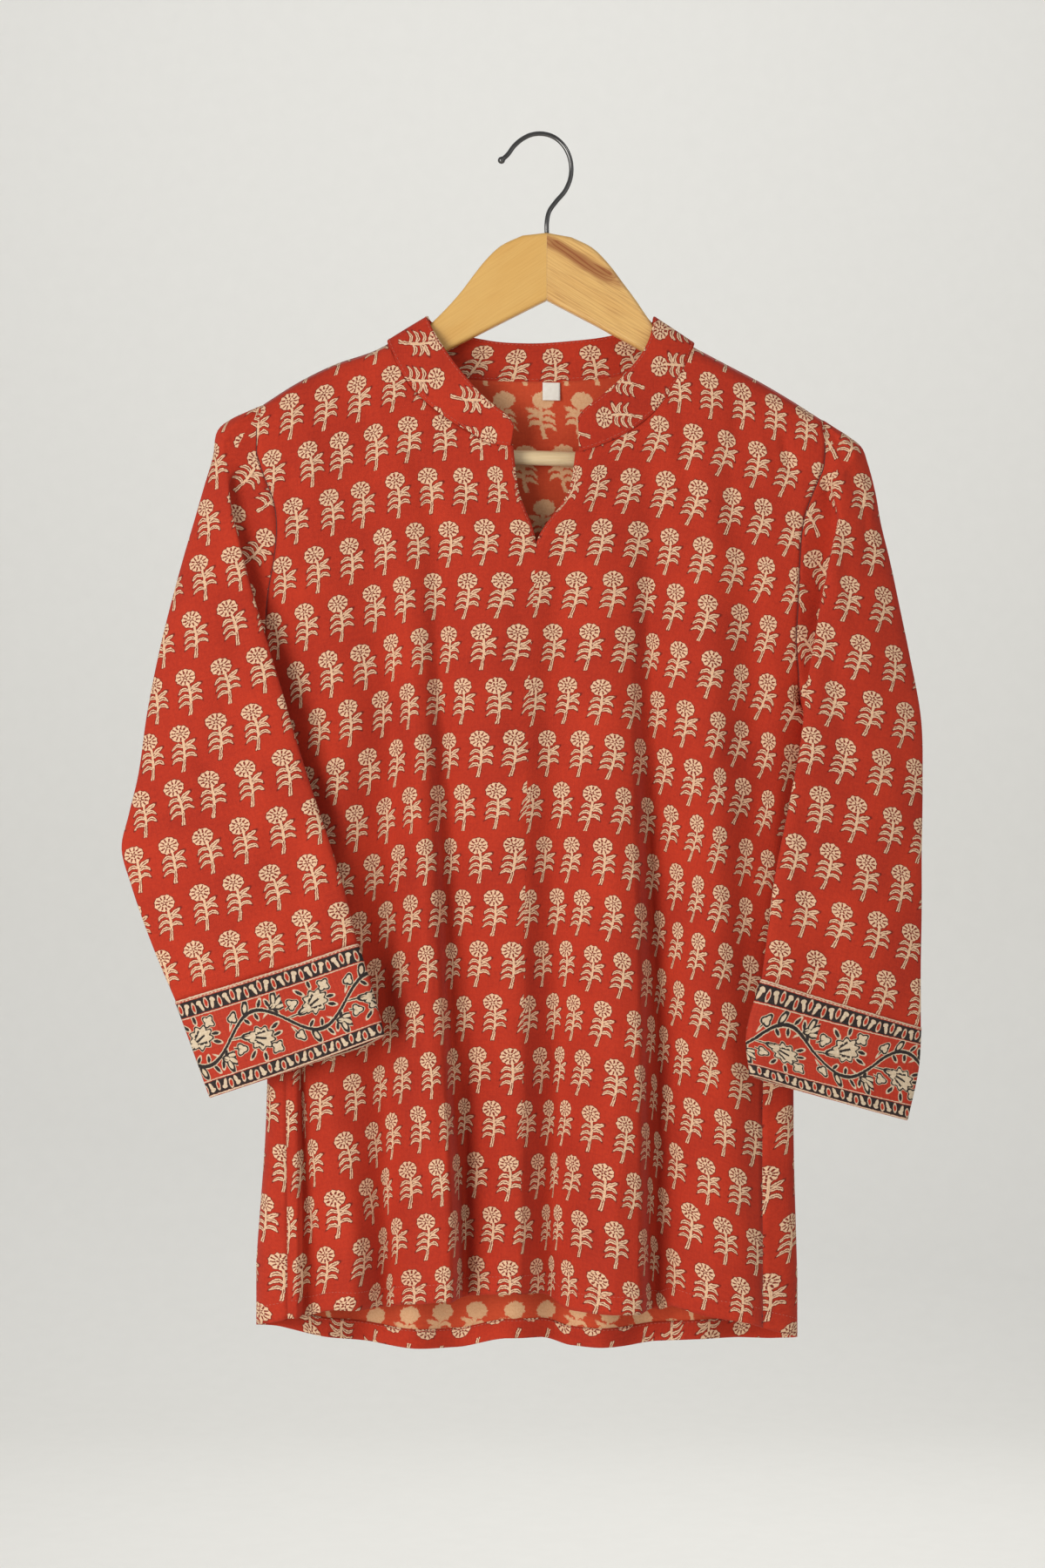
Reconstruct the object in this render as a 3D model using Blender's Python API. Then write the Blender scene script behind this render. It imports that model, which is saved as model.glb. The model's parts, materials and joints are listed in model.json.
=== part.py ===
"""A short block-printed cotton kurta hanging on a wooden hanger.

Sizes are in millimetres and become metres when a mesh is made. The origin is the
inside of the hook's crown, where the hook rests on whatever it hangs from. +Z is
up, the front of the kurta faces -Y, and "forward" below is the distance towards
-Y. "left" and "right" are the wearer's, so the right sleeve is at -X.

Cloth is drawn twice. Its cut is in flat coordinates: "across" from the centre
front, and "down", which is negative below the hook. Its hang takes a flat point to
where it lies: WARP_* say where the lengthwise threads hang, and FOLD_* say how far
forward each crown and valley of the folds stands.
"""

import math

import bmesh
import bpy
import numpy as np

MM = 0.001

CLOTH = 1.2  # one layer of cotton, with the air it holds
BAND = 2.0  # the collar: two layers and an interlining
CUFF = 2.0  # a doubled border band
SEAM_GAP = 0.35  # half of the space between two pieces at a seam
LAYER_GAP = 0.35  # space between a panel and what is sewn on it
SHOULDER_ROUND = 12.0  # how far below the shoulder seam the cloth turns down
SLIT_EDGE = -3.9  # the neck slit is cut just right of the centre
SLIT_BOTTOM = -285.9
CHEST = -400.0  # "down" of the line where the panels reach their full width
HEM_DEPTH = 13.5  # turned up inside, front and back
FACING_WIDTH = 7.0  # turned in along both edges of the neck slit

WOOD = 11.0  # hanger thickness
WOOD_EDGE = 3.0
MITRE_X = 4.8  # where the two halves of the hanger meet
BAR_RADIUS = 5.15
WIRE_RADIUS = 1.9
TIP_RADIUS = 2.9

RED = (0.454, 0.038, 0.018, 1.0)
RED_INSIDE = (0.520, 0.085, 0.035, 1.0)
BORDER = (0.120, 0.045, 0.030, 1.0)
PINE = (0.690, 0.413, 0.138, 1.0)
DOWEL = (0.708, 0.546, 0.371, 1.0)
STEEL = (0.560, 0.560, 0.570, 1.0)
LABEL = (0.800, 0.780, 0.740, 1.0)

# Heights, as "down", at which the lengthwise threads are placed.
WARP_LEVELS = (-201.0, -244.0, -285.9, -383.0, -637.0, -749.0)
#   across, droop,  x at each of the levels above
WARP_RIGHT = (
    (-249.0, 36.3, -230.0, -225.0, -219.0, -191.5, -174.7, -173.5),
    (-236.0, 33.9, -219.0, -214.7, -209.0, -187.0, -166.3, -166.3),
    (-209.5, 28.4, -196.5, -193.0, -188.5, -174.5, -162.0, -147.0),
    (-183.5, 21.8, -173.5, -169.5, -166.0, -154.5, -140.5, -122.0),
    (-157.0, 15.7, -149.5, -145.5, -142.0, -132.0, -119.5, -108.5),
    (-131.0, 9.7, -126.5, -123.0, -119.0, -109.5, -104.5, -100.0),
    (-105.0, 3.6, -103.5, -100.0, -97.0, -92.0, -86.5, -77.0),
    (-78.5, 1.2, -79.0, -76.5, -74.5, -72.0, -67.5, -59.0),
    (-52.5, 0.6, -55.5, -52.0, -50.5, -54.0, -53.5, -53.0),
    (-26.0, 0.0, -35.0, -29.0, -25.0, -29.5, -32.0, -33.5),
    (SLIT_EDGE, 0.0, -20.0, -15.5, -2.8, -7.5, -12.0, -13.5),
)
WARP_LEFT = (
    (SLIT_EDGE, 0.0, 26.5, 21.0, -2.8, -7.5, -12.0, -13.5),
    (26.0, 0.0, 49.5, 37.5, 27.5, 18.0, 7.5, 4.0),
    (52.5, 0.6, 71.5, 61.0, 53.0, 42.0, 20.5, 12.0),
    (78.5, 3.6, 94.0, 84.5, 77.0, 65.5, 39.0, 27.0),
    (105.0, 9.1, 117.5, 107.5, 98.5, 81.0, 61.5, 51.5),
    (131.0, 15.7, 139.5, 130.0, 121.0, 100.0, 75.0, 71.0),
    (157.0, 23.0, 161.5, 152.0, 143.5, 122.0, 83.0, 79.0),
    (183.5, 30.2, 183.5, 173.5, 164.0, 138.5, 95.5, 92.0),
    (209.5, 38.1, 206.0, 195.0, 184.0, 158.0, 115.0, 113.5),
    (236.0, 46.6, 228.0, 216.0, 204.0, 173.0, 136.0, 137.5),
    (255.0, 52.6, 245.0, 232.0, 218.0, 184.0, 153.0, 153.0),
)

# Heights at which each crown and valley of the front's folds is placed.
FOLD_LEVELS = (-201.0, -273.0, -383.0, -637.0, -749.0)
#   x and forward at each of the levels above
FOLD_RIGHT = (
    (-230.0, 8.0, -223.0, 7.0, -192.5, 0.8, -174.8, 16.0, -173.1, 23.0),  # side seam
    (-216.0, 8.0, -211.0, 8.0, -188.0, 1.2, -166.9, 17.0, -166.4, 24.0),  # tuck beside it
    (-211.0, 8.0, -202.0, 8.0, -183.5, 1.6, -165.4, 6.0, -164.9, 9.0),
    (-171.5, 9.5, -161.5, 12.0, -136.5, 15.0, -139.5, 15.0, -128.5, 26.0),  # crown
    (-132.5, 9.0, -120.5, 10.5, -104.5, 7.0, -107.5, 2.0, -106.5, 1.5),  # narrow valley
    (-102.5, 10.0, -95.0, 13.0, -86.5, 20.0, -74.5, 31.0, -71.5, 33.0),  # crown
    (-90.5, 10.0, -85.5, 12.5, -79.5, 18.0, -67.0, 29.0, -61.5, 31.0),
    (-78.5, 10.0, -72.5, 11.0, -69.5, 8.0, -60.4, 5.0, -53.8, 3.0),  # lap
    (-66.5, 10.5, -62.0, 12.0, -60.0, 12.0, -52.5, 6.0, -47.0, 5.0),
    (-36.0, 14.0, -29.0, 16.0, -27.0, 21.0, -18.0, 23.0, -19.5, 22.0),  # crown
    (-20.0, 15.0, -7.5, 17.0, -7.5, 20.5, -12.0, 23.0, -13.5, 22.0),  # centre
)
FOLD_LEFT = (
    (26.5, 15.0, 4.5, 17.0, -7.5, 20.5, -12.0, 23.0, -13.5, 22.0),  # centre
    (31.0, 15.0, 15.0, 16.5, 8.5, 15.0, 12.0, 4.0, 8.5, 0.0),  # valley
    (48.0, 13.5, 42.0, 17.0, 50.5, 23.0, 52.5, 32.0, 51.0, 34.0),  # crown
    (61.5, 13.0, 61.0, 15.5, 62.0, 20.0, 67.0, 30.0, 67.0, 31.0),
    (75.0, 12.0, 77.0, 11.0, 74.0, 5.0, 81.7, -1.0, 81.1, -1.0),  # deepest valley
    (87.0, 12.0, 87.5, 13.0, 82.5, 9.0, 87.5, 5.0, 88.0, 6.0),
    (99.0, 12.5, 99.0, 15.5, 89.0, 11.0, 99.0, 17.0, 99.0, 19.0),
    (117.0, 13.0, 117.0, 19.0, 118.5, 22.0, 122.5, 24.0, 124.0, 28.0),  # crown
    (138.5, 11.0, 145.5, 11.0, 149.5, 8.0, 139.0, 20.0, 140.0, 27.0),
    (159.5, 10.5, 159.5, 13.0, 164.5, 10.0, 146.5, 14.0, 147.0, 24.0),
    (245.5, 8.0, 223.5, 7.0, 185.0, 1.0, 153.5, 10.0, 153.0, 18.0),  # side seam
)

BACK_LEVELS = (-201.0, -383.0, -637.0, -749.0)
#   across, droop, then x and forward at each of the levels above. The first and
#   last rows are the side seams, which lie at the front, so the back wraps round.
BACK_HANG = (
    (-249.0, 36.3, -232.0, -9.0, -192.5, -0.6, -175.6, 15.0, -173.8, 22.0),
    (-241.0, 35.0, -225.5, -9.0, -192.0, -3.0, -182.0, 13.5, -182.5, 20.0),
    (-233.0, 33.5, -218.5, -9.0, -190.0, -5.0, -187.5, 8.0, -192.0, 14.0),
    (-225.5, 32.0, -212.0, -9.0, -186.5, -6.5, -189.5, 1.0, -196.5, 4.0),
    (-215.0, 29.0, -203.0, -9.0, -179.5, -8.0, -187.5, -7.0, -195.5, -6.0),
    (-194.0, 24.0, -184.0, -9.0, -164.0, -10.0, -175.0, -15.0, -181.5, -15.0),
    (-157.0, 15.5, -150.5, -9.0, -135.0, -8.0, -145.5, -8.0, -150.5, -6.0),
    (-120.5, 7.5, -118.0, -9.0, -104.5, -13.0, -117.0, -18.0, -119.5, -20.0),
    (-84.0, 1.5, -84.5, -9.0, -74.0, -8.0, -86.0, -8.0, -87.5, -6.0),
    (-47.0, 0.5, -48.5, -9.0, -41.5, -12.0, -55.0, -17.0, -54.0, -19.0),
    (-10.5, 0.0, -12.0, -9.0, -7.0, -8.0, -20.5, -9.0, -19.0, -7.0),
    (26.0, 0.0, 25.0, -9.0, 25.0, -12.0, 13.0, -18.0, 13.0, -20.0),
    (63.0, 1.5, 62.0, -9.0, 55.5, -8.0, 45.0, -8.0, 43.5, -6.0),
    (99.5, 7.5, 98.5, -9.0, 84.0, -13.0, 75.5, -17.0, 76.0, -20.0),
    (136.0, 16.5, 133.5, -9.0, 112.0, -8.0, 107.5, -8.0, 107.0, -6.0),
    (173.0, 27.0, 169.5, -9.0, 139.5, -12.0, 140.5, -16.0, 141.0, -18.0),
    (204.5, 36.5, 199.0, -9.0, 163.0, -10.0, 164.0, -13.0, 165.0, -14.0),
    (220.0, 41.5, 214.0, -9.0, 174.5, -7.0, 173.0, -7.0, 175.5, -6.0),
    (230.5, 45.0, 223.5, -9.0, 180.0, -4.0, 176.0, 0.0, 178.5, 2.0),
    (241.0, 48.5, 233.0, -9.0, 183.5, -2.0, 170.0, 6.0, 171.5, 11.0),
    (255.0, 52.6, 247.0, -9.0, 185.0, -0.6, 154.2, 9.5, 153.8, 17.0),
)

#   x, z along each seam or edge, from the wearer's right to the left
SHOULDER_RIGHT = ((-193.0, -187.2), (-168.8, -171.8), (-144.0, -159.4), (-110.1, -147.0), (-105.3, -144.3))
SHOULDER_LEFT = ((106.5, -146.7), (130.7, -159.4), (153.7, -171.5), (174.2, -183.6), (195.0, -196.9))
ARMHOLE_END_RIGHT = (-191.4, -392.5)
ARMHOLE_END_LEFT = (180.6, -394.3)
NECK_RIGHT = (
    (-105.3, -144.3), (-101.3, -153.9), (-95.2, -165.5), (-88.0, -176.4), (-78.3, -185.6),
    (-67.4, -194.1), (-53.9, -203.3), (-37.0, -212.8), (-27.1, -215.2), (-20.0, -215.8),
)
NECK_LEFT = (
    (26.6, -219.7), (33.6, -218.2), (42.0, -215.5), (52.8, -209.9), (63.7, -204.2),
    (76.3, -194.1), (86.0, -182.9), (95.7, -168.6), (102.4, -156.3), (106.5, -146.7),
)
NECK_BACK = (
    (-105.3, -144.3), (-98.3, -148.7), (-82.0, -158.2), (-63.7, -164.8), (-44.9, -167.9), (-24.3, -168.8),
    (0.1, -169.1), (31.6, -167.9), (49.9, -166.1), (69.9, -161.2), (88.1, -154.1), (100.2, -148.7), (106.5, -146.7),
)
#   across, z
HEM_FRONT = (
    (-249.0, -816.6), (-231.0, -817.0), (-199.0, -811.3), (-145.0, -812.5), (-92.0, -804.2), (-55.0, -806.2),
    (-28.0, -802.3), (-3.9, -800.6), (38.0, -805.5), (71.0, -813.9), (104.0, -812.9), (131.0, -813.3),
    (166.0, -814.6), (183.0, -810.5), (209.5, -814.9), (244.0, -820.1), (255.0, -822.9),
)
HEM_BACK = (
    (-249.0, -818.0), (-233.0, -822.2), (-225.5, -824.5), (-199.0, -828.2), (-155.0, -834.8), (-102.0, -842.0),
    (-52.0, -844.0), (-13.0, -836.0), (10.5, -836.5), (37.0, -842.5), (80.0, -842.2), (107.0, -839.7),
    (140.0, -836.5), (194.0, -837.3), (230.5, -833.4), (241.0, -829.8), (255.0, -825.7),
)

# Sections round a sleeve. The outer fold, the inner fold and the foot under it are
# x, z, forward; the seam is where the section starts and ends. The first eleven
# sections are open, and their seam lies on the armhole. The rest are closed, and
# their seam lies behind the inner fold.
#   outer fold          inner fold            foot                  seam              front, back layer
SLEEVE_RIGHT = (
    (-195.4, -188.1, 0.0, -194.1, -190.2, 4.5, -193.5, -192.3, 6.5, -193.3, -195.4, 7.5, 4.0, -5.5),
    (-203.9, -191.8, 0.0, -200.2, -196.5, 7.0, -198.5, -199.5, 7.8, -195.8, -201.5, 7.8, 7.5, -8.5),
    (-214.2, -196.6, 0.0, -207.9, -204.0, 8.5, -202.5, -207.5, 8.3, -196.1, -210.5, 8.0, 9.0, -9.5),
    (-223.5, -204.2, 0.0, -215.1, -213.7, 9.5, -206.7, -217.2, 8.8, -196.1, -219.6, 8.0, 10.0, -10.0),
    (-226.9, -222.9, 0.0, -216.1, -230.1, 11.0, -207.9, -229.3, 8.6, -193.9, -228.0, 8.0, 11.0, -10.0),
    (-233.5, -245.3, 0.0, -215.1, -245.6, 15.0, -215.2, -242.5, 8.6, -190.2, -238.8, 8.0, 13.0, -10.0),
    (-240.1, -268.4, 1.0, -212.5, -263.8, 17.0, -214.6, -260.6, 8.5, -184.2, -254.5, 8.0, 15.0, -10.0),
    (-247.2, -292.6, 2.0, -207.6, -282.5, 19.0, -211.0, -278.6, 8.0, -182.1, -271.4, 7.5, 17.0, -10.0),
    (-255.5, -324.2, 4.0, -201.4, -307.2, 21.0, -205.6, -302.1, 7.5, -183.8, -293.0, 7.0, 20.0, -9.0),
    (-263.1, -356.3, 6.0, -192.7, -335.6, 24.0, -199.0, -329.2, 7.0, -188.3, -318.2, 5.0, 23.0, -7.0),
    (-271.3, -398.6, 8.0, -181.1, -372.8, 27.0, -190.5, -363.6, 10.0, -191.4, -353.2, 3.5, 27.0, -3.0),
    (-278.2, -446.8, 10.0, -168.4, -415.8, 30.0, -180.5, -408.7, 15.0, -196.0, -398.5, 2.5, 30.0, 2.0),
    (-284.0, -471.0, 11.0, -162.5, -435.0, 31.0, -172.0, -434.0, 18.0, -187.0, -425.0, 9.5, 31.0, 4.0),
    (-288.8, -494.9, 12.0, -156.3, -454.0, 32.0, -163.1, -458.8, 20.0, -173.8, -464.8, 13.0, 32.0, 7.0),
    (-282.1, -519.5, 13.0, -147.3, -480.8, 33.0, -152.7, -485.7, 23.0, -162.2, -490.6, 16.0, 33.0, 10.0),
    (-265.6, -565.1, 15.0, -133.5, -524.8, 34.0, -138.2, -529.3, 25.0, -147.0, -534.9, 19.5, 34.0, 15.0),
    (-251.1, -599.3, 16.0, -125.2, -559.3, 34.0, -129.8, -562.7, 26.0, -137.9, -566.0, 21.0, 34.0, 18.0),
)
CUFF_RIGHT = (
    (-251.1, -599.3, 16.0, -125.2, -559.3, 34.0, -129.8, -562.7, 26.0, -137.9, -566.0, 21.0, 34.0, 18.0),
    (-239.0, -632.3, 16.5, -115.0, -590.8, 35.0, -119.6, -593.8, 26.5, -128.3, -597.7, 21.5, 35.0, 19.5),
    (-227.0, -665.9, 17.0, -106.7, -622.3, 36.0, -111.2, -625.4, 27.0, -119.9, -630.0, 22.0, 36.0, 21.0),
)
SLEEVE_LEFT = (
    (197.8, -198.1, 0.0, 196.5, -200.5, 4.5, 195.8, -202.5, 6.5, 195.6, -205.6, 7.5, 4.0, -5.5),
    (205.7, -203.3, 0.0, 202.6, -208.0, 7.0, 199.5, -210.5, 7.8, 196.8, -212.3, 7.8, 7.5, -8.5),
    (214.2, -208.7, 0.0, 209.6, -216.0, 8.5, 203.6, -219.0, 8.3, 197.1, -221.4, 8.0, 9.0, -9.5),
    (222.6, -215.4, 0.0, 213.8, -225.1, 9.5, 206.0, -228.1, 9.0, 196.2, -230.4, 8.0, 10.0, -10.0),
    (227.5, -227.2, 0.0, 203.3, -240.5, 12.0, 199.8, -240.1, 8.8, 193.2, -238.2, 8.0, 11.0, -10.0),
    (232.9, -247.7, 0.0, 204.8, -255.2, 15.0, 203.0, -252.2, 8.6, 188.8, -248.5, 8.0, 13.0, -10.0),
    (236.4, -268.4, 1.0, 207.0, -265.0, 17.0, 205.0, -261.8, 8.5, 184.5, -259.9, 8.0, 15.0, -10.0),
    (242.4, -293.9, 2.0, 202.5, -283.1, 19.0, 204.7, -278.6, 8.0, 181.4, -272.6, 7.5, 17.0, -10.0),
    (248.8, -325.4, 4.0, 197.0, -309.0, 21.0, 199.5, -303.9, 7.5, 179.6, -294.2, 7.0, 20.0, -9.0),
    (255.8, -360.5, 6.0, 190.7, -340.9, 24.0, 195.3, -334.0, 7.0, 178.5, -321.8, 5.0, 23.0, -7.0),
    (263.3, -402.8, 8.0, 183.8, -379.3, 27.0, 190.4, -371.4, 10.0, 177.4, -354.4, 3.5, 27.0, -3.0),
    (264.3, -449.8, 10.0, 178.2, -423.6, 30.0, 184.4, -418.5, 15.0, 182.4, -400.0, 2.5, 30.0, 2.0),
    (264.0, -474.0, 11.0, 174.0, -446.0, 31.0, 181.0, -445.0, 18.0, 185.0, -435.0, 9.5, 31.0, 4.0),
    (263.4, -497.9, 12.0, 169.6, -468.3, 32.0, 177.2, -472.0, 21.0, 185.0, -476.2, 14.0, 32.0, 7.0),
    (263.3, -537.0, 13.0, 160.6, -514.1, 33.0, 166.7, -518.0, 24.0, 175.1, -521.8, 17.0, 33.0, 10.0),
    (262.4, -579.0, 15.0, 155.8, -549.8, 34.0, 161.3, -553.8, 25.0, 168.9, -557.7, 19.5, 34.0, 15.0),
    (262.3, -617.3, 16.0, 151.6, -583.1, 34.0, 157.0, -586.0, 26.0, 164.6, -589.4, 21.0, 34.0, 18.0),
)
CUFF_LEFT = (
    (262.3, -617.3, 16.0, 151.6, -583.1, 34.0, 157.0, -586.0, 26.0, 164.6, -589.4, 21.0, 34.0, 18.0),
    (259.8, -649.1, 16.5, 141.4, -622.4, 35.0, 147.4, -625.4, 26.5, 155.6, -628.9, 21.5, 35.0, 19.5),
    (252.6, -681.5, 17.0, 143.7, -649.0, 36.0, 149.2, -652.3, 27.0, 157.3, -655.2, 22.0, 36.0, 21.0),
)
OPEN_SECTIONS = 11

# The collar band, from its right front end round the neck to its left front end.
#   seam edge x, z, forward; free edge x, z, forward
COLLAR = (
    (-19.9, -215.9, 15.5, -17.8, -203.3, 18.0),
    (-27.1, -215.3, 15.5, -21.7, -196.4, 18.0),
    (-37.0, -212.9, 15.0, -28.3, -191.3, 18.0),
    (-48.2, -206.1, 14.0, -36.1, -185.1, 17.0),
    (-59.6, -199.7, 13.5, -44.5, -176.6, 16.0),
    (-70.4, -191.8, 12.5, -52.3, -167.5, 15.0),
    (-80.7, -183.2, 11.5, -59.6, -158.3, 14.0),
    (-90.3, -172.3, 11.0, -66.2, -148.6, 13.0),
    (-98.2, -159.0, 10.0, -72.3, -138.7, 11.5),
    (-103.4, -148.4, 7.5, -76.0, -131.6, 8.0),
    (-104.9, -144.0, 5.3, -77.1, -127.0, 5.8),
    (-105.3, -142.2, 0.0, -77.4, -125.2, 0.0),
    (-104.8, -143.0, -5.3, -77.0, -126.0, -5.8),
    (-103.2, -145.0, -7.5, -75.3, -127.9, -8.0),
    (-95.9, -149.7, -9.0, -68.6, -131.3, -10.0),
    (-82.0, -158.1, -9.5, -57.7, -135.4, -11.0),
    (-63.8, -164.8, -9.5, -44.9, -138.4, -11.5),
    (-44.9, -167.8, -9.5, -29.1, -141.0, -12.0),
    (-24.3, -168.7, -9.5, -13.9, -141.9, -12.0),
    (0.1, -169.0, -9.5, 1.3, -141.9, -12.0),
    (25.6, -168.1, -9.5, 21.4, -140.4, -12.0),
    (49.9, -166.0, -9.5, 42.7, -138.0, -12.0),
    (69.9, -161.1, -9.5, 58.4, -134.8, -11.0),
    (88.2, -153.8, -9.5, 70.0, -131.9, -10.0),
    (100.3, -149.1, -9.0, 76.0, -129.5, -9.5),
    (105.1, -146.8, -7.5, 78.4, -127.9, -8.0),
    (106.2, -144.8, -5.2, 78.6, -126.2, -5.8),
    (106.5, -144.0, 0.0, 78.7, -125.5, 0.0),
    (105.9, -146.2, 5.3, 78.4, -127.8, 5.8),
    (104.3, -151.4, 7.5, 77.7, -133.4, 8.0),
    (100.5, -161.4, 10.0, 75.1, -142.9, 11.5),
    (94.4, -171.1, 11.0, 70.3, -152.2, 13.0),
    (87.2, -180.9, 12.0, 63.6, -161.3, 14.0),
    (79.3, -191.2, 12.5, 55.8, -169.9, 15.0),
    (69.1, -200.3, 13.5, 47.9, -177.2, 16.0),
    (58.2, -207.6, 14.0, 40.7, -183.3, 17.0),
    (46.2, -213.4, 15.0, 34.1, -188.3, 18.0),
    (35.9, -217.4, 15.5, 29.3, -192.5, 18.0),
    (26.9, -219.8, 15.5, 26.0, -197.3, 18.0),
)
COLLAR_SEAM = 0.9  # the band's seam edge stands this far inside the neckline

SIZE_LABEL = {"left": 1.9, "right": 14.1, "top": -170.0, "bottom": -182.5}

#   x, z round each half of the hanger, from the top of the mitre out and back
HANGER_RIGHT = (
    (-12.1, -69.3), (-27.2, -76.5), (-38.1, -86.8), (-45.4, -95.9), (-54.5, -108.0), (-63.5, -118.3),
    (-72.6, -127.5), (-90.7, -143.5), (-105.3, -152.5), (-144.0, -164.6), (-168.8, -176.0), (-193.0, -191.4),
    (-204.5, -199.5), (-212.5, -205.5), (-216.0, -211.0), (-216.8, -220.5), (-213.5, -231.0), (-206.0, -238.3),
    (-190.6, -241.3), (-173.6, -237.7), (-166.0, -230.5), (-165.4, -213.0), (-160.0, -208.5), (-133.1, -190.3),
    (-96.8, -166.7), (-63.5, -148.5), (-30.2, -131.6),
)
HANGER_LEFT = (
    (21.8, -70.5), (36.3, -77.7), (48.4, -89.8), (57.5, -101.9), (66.5, -114.0), (75.0, -126.5),
    (88.7, -142.5), (106.5, -154.5), (130.7, -164.8), (153.7, -175.7), (174.2, -187.8), (195.4, -201.5),
    (206.5, -209.5), (214.5, -215.5), (218.0, -221.5), (218.6, -230.5), (215.5, -240.1), (208.0, -247.3),
    (193.6, -249.8), (176.1, -246.1), (168.6, -239.5), (168.0, -221.5), (162.7, -217.5), (136.1, -198.7),
    (102.9, -170.3), (72.6, -150.3), (38.7, -131.6),
)
MITRE_TOP, MITRE_BOTTOM = -67.4, -114.0
BAR_ENDS = ((-164.8, -218.9), (167.4, -228.1))

#   x, z along the middle of the hook's wire, from its tip to the wood
HOOK = (
    (-27.6, -17.4), (-26.0, -16.0), (-22.4, -12.7), (-18.1, -6.9), (-12.1, -1.8), (-6.0, 1.1), (0.0, 1.9),
    (9.1, -0.2), (16.9, -6.9), (21.2, -16.6), (21.5, -27.5), (17.5, -37.8), (10.9, -45.7), (6.4, -52.3),
    (4.8, -60.2), (4.8, -66.9),
)


def smooth(places, values, at):
    """Values at "at" on a smooth curve that keeps every crown and valley where it is.

    Each column of places and values is a curve of its own, for one entry of "at".
    """
    at = np.atleast_1d(np.asarray(at, float))
    places = np.asarray(places, float)
    values = np.asarray(values, float)
    places = np.broadcast_to(places.reshape(len(places), -1), (len(places), len(at)))
    values = np.broadcast_to(values.reshape(len(values), -1), (len(values), len(at)))
    step = np.diff(places, axis=0)
    rise = np.diff(values, axis=0) / step
    level = rise[:-1] * rise[1:] <= 0
    safe = np.where(rise == 0, 1.0, rise)
    weighed = (2 * step[1:] + step[:-1]) / safe[:-1] + (step[1:] + 2 * step[:-1]) / safe[1:]
    inner = np.where(level, 0.0, 3 * (step[:-1] + step[1:]) / np.where(weighed == 0, 1.0, weighed))
    slope = np.concatenate([rise[:1], inner, rise[-1:]])
    at = np.clip(at, places[0], places[-1])
    span = (at >= places[1:-1]).sum(axis=0)
    column = np.arange(len(at))
    width = step[span, column]
    part = (at - places[span, column]) / width
    start, end = values[span, column], values[span + 1, column]
    leaving, arriving = slope[span, column] * width, slope[span + 1, column] * width
    return (
        start
        + part * leaving
        + part**2 * (3 * (end - start) - 2 * leaving - arriving)
        + part**3 * (2 * (start - end) + leaving + arriving)
    )


def along(points, at):
    """Points at the shares "at" of a polyline's length."""
    points = np.asarray(points, float)
    length = np.concatenate([[0.0], np.cumsum(np.linalg.norm(np.diff(points, axis=0), axis=1))])
    wanted = np.asarray(at, float) * length[-1]
    return np.stack([np.interp(wanted, length, points[:, i]) for i in range(points.shape[1])], axis=1)


def through(points, counts, closed=False):
    """A curve through the points, with the given number of steps between each two."""
    points = np.asarray(points, float)
    ends = (points[-2:-1], points[1:2]) if closed else (2 * points[:1] - points[1:2], 2 * points[-1:] - points[-2:-1])
    guide = np.concatenate([ends[0], points, ends[1]])
    gap = np.maximum(np.linalg.norm(np.diff(guide, axis=0), axis=1), 1e-6)[:, None]
    slope = np.diff(guide, axis=0) / gap
    tangent = (slope[:-1] * gap[1:] + slope[1:] * gap[:-1]) / (gap[:-1] + gap[1:])
    made = []
    for i, count in enumerate(counts):
        part = (np.arange(count) / count)[:, None]
        width = gap[i + 1]
        leaving, arriving = tangent[i] * width, tangent[i + 1] * width
        start, end = points[i], points[i + 1]
        made.append(
            start
            + part * leaving
            + part**2 * (3 * (end - start) - 2 * leaving - arriving)
            + part**3 * (2 * (start - end) + leaving + arriving)
        )
    return np.concatenate(made + ([] if closed else [points[-1:]]))


def shoulder_height(x):
    """Height of the shoulder line, carried on under the collar towards the neck."""
    right = np.array(SHOULDER_RIGHT + ((-60.0, -115.5), (-10.0, -80.0)))
    left = np.array(((20.0, -82.0), (66.0, -118.0)) + SHOULDER_LEFT)
    return np.interp(x, np.concatenate([right[:, 0], left[:, 0]]), np.concatenate([right[:, 1], left[:, 1]]))


def turned_over(forward, x, z):
    """Brings cloth to the middle plane as it turns over the shoulder."""
    below = np.clip((shoulder_height(x) - z) / SHOULDER_ROUND, 0.0, 1.0)
    round_over = np.sqrt(1.0 - (1.0 - below) ** 2)
    side = np.where(forward < 0, -SEAM_GAP, SEAM_GAP)
    return side + (forward - side) * round_over


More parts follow.
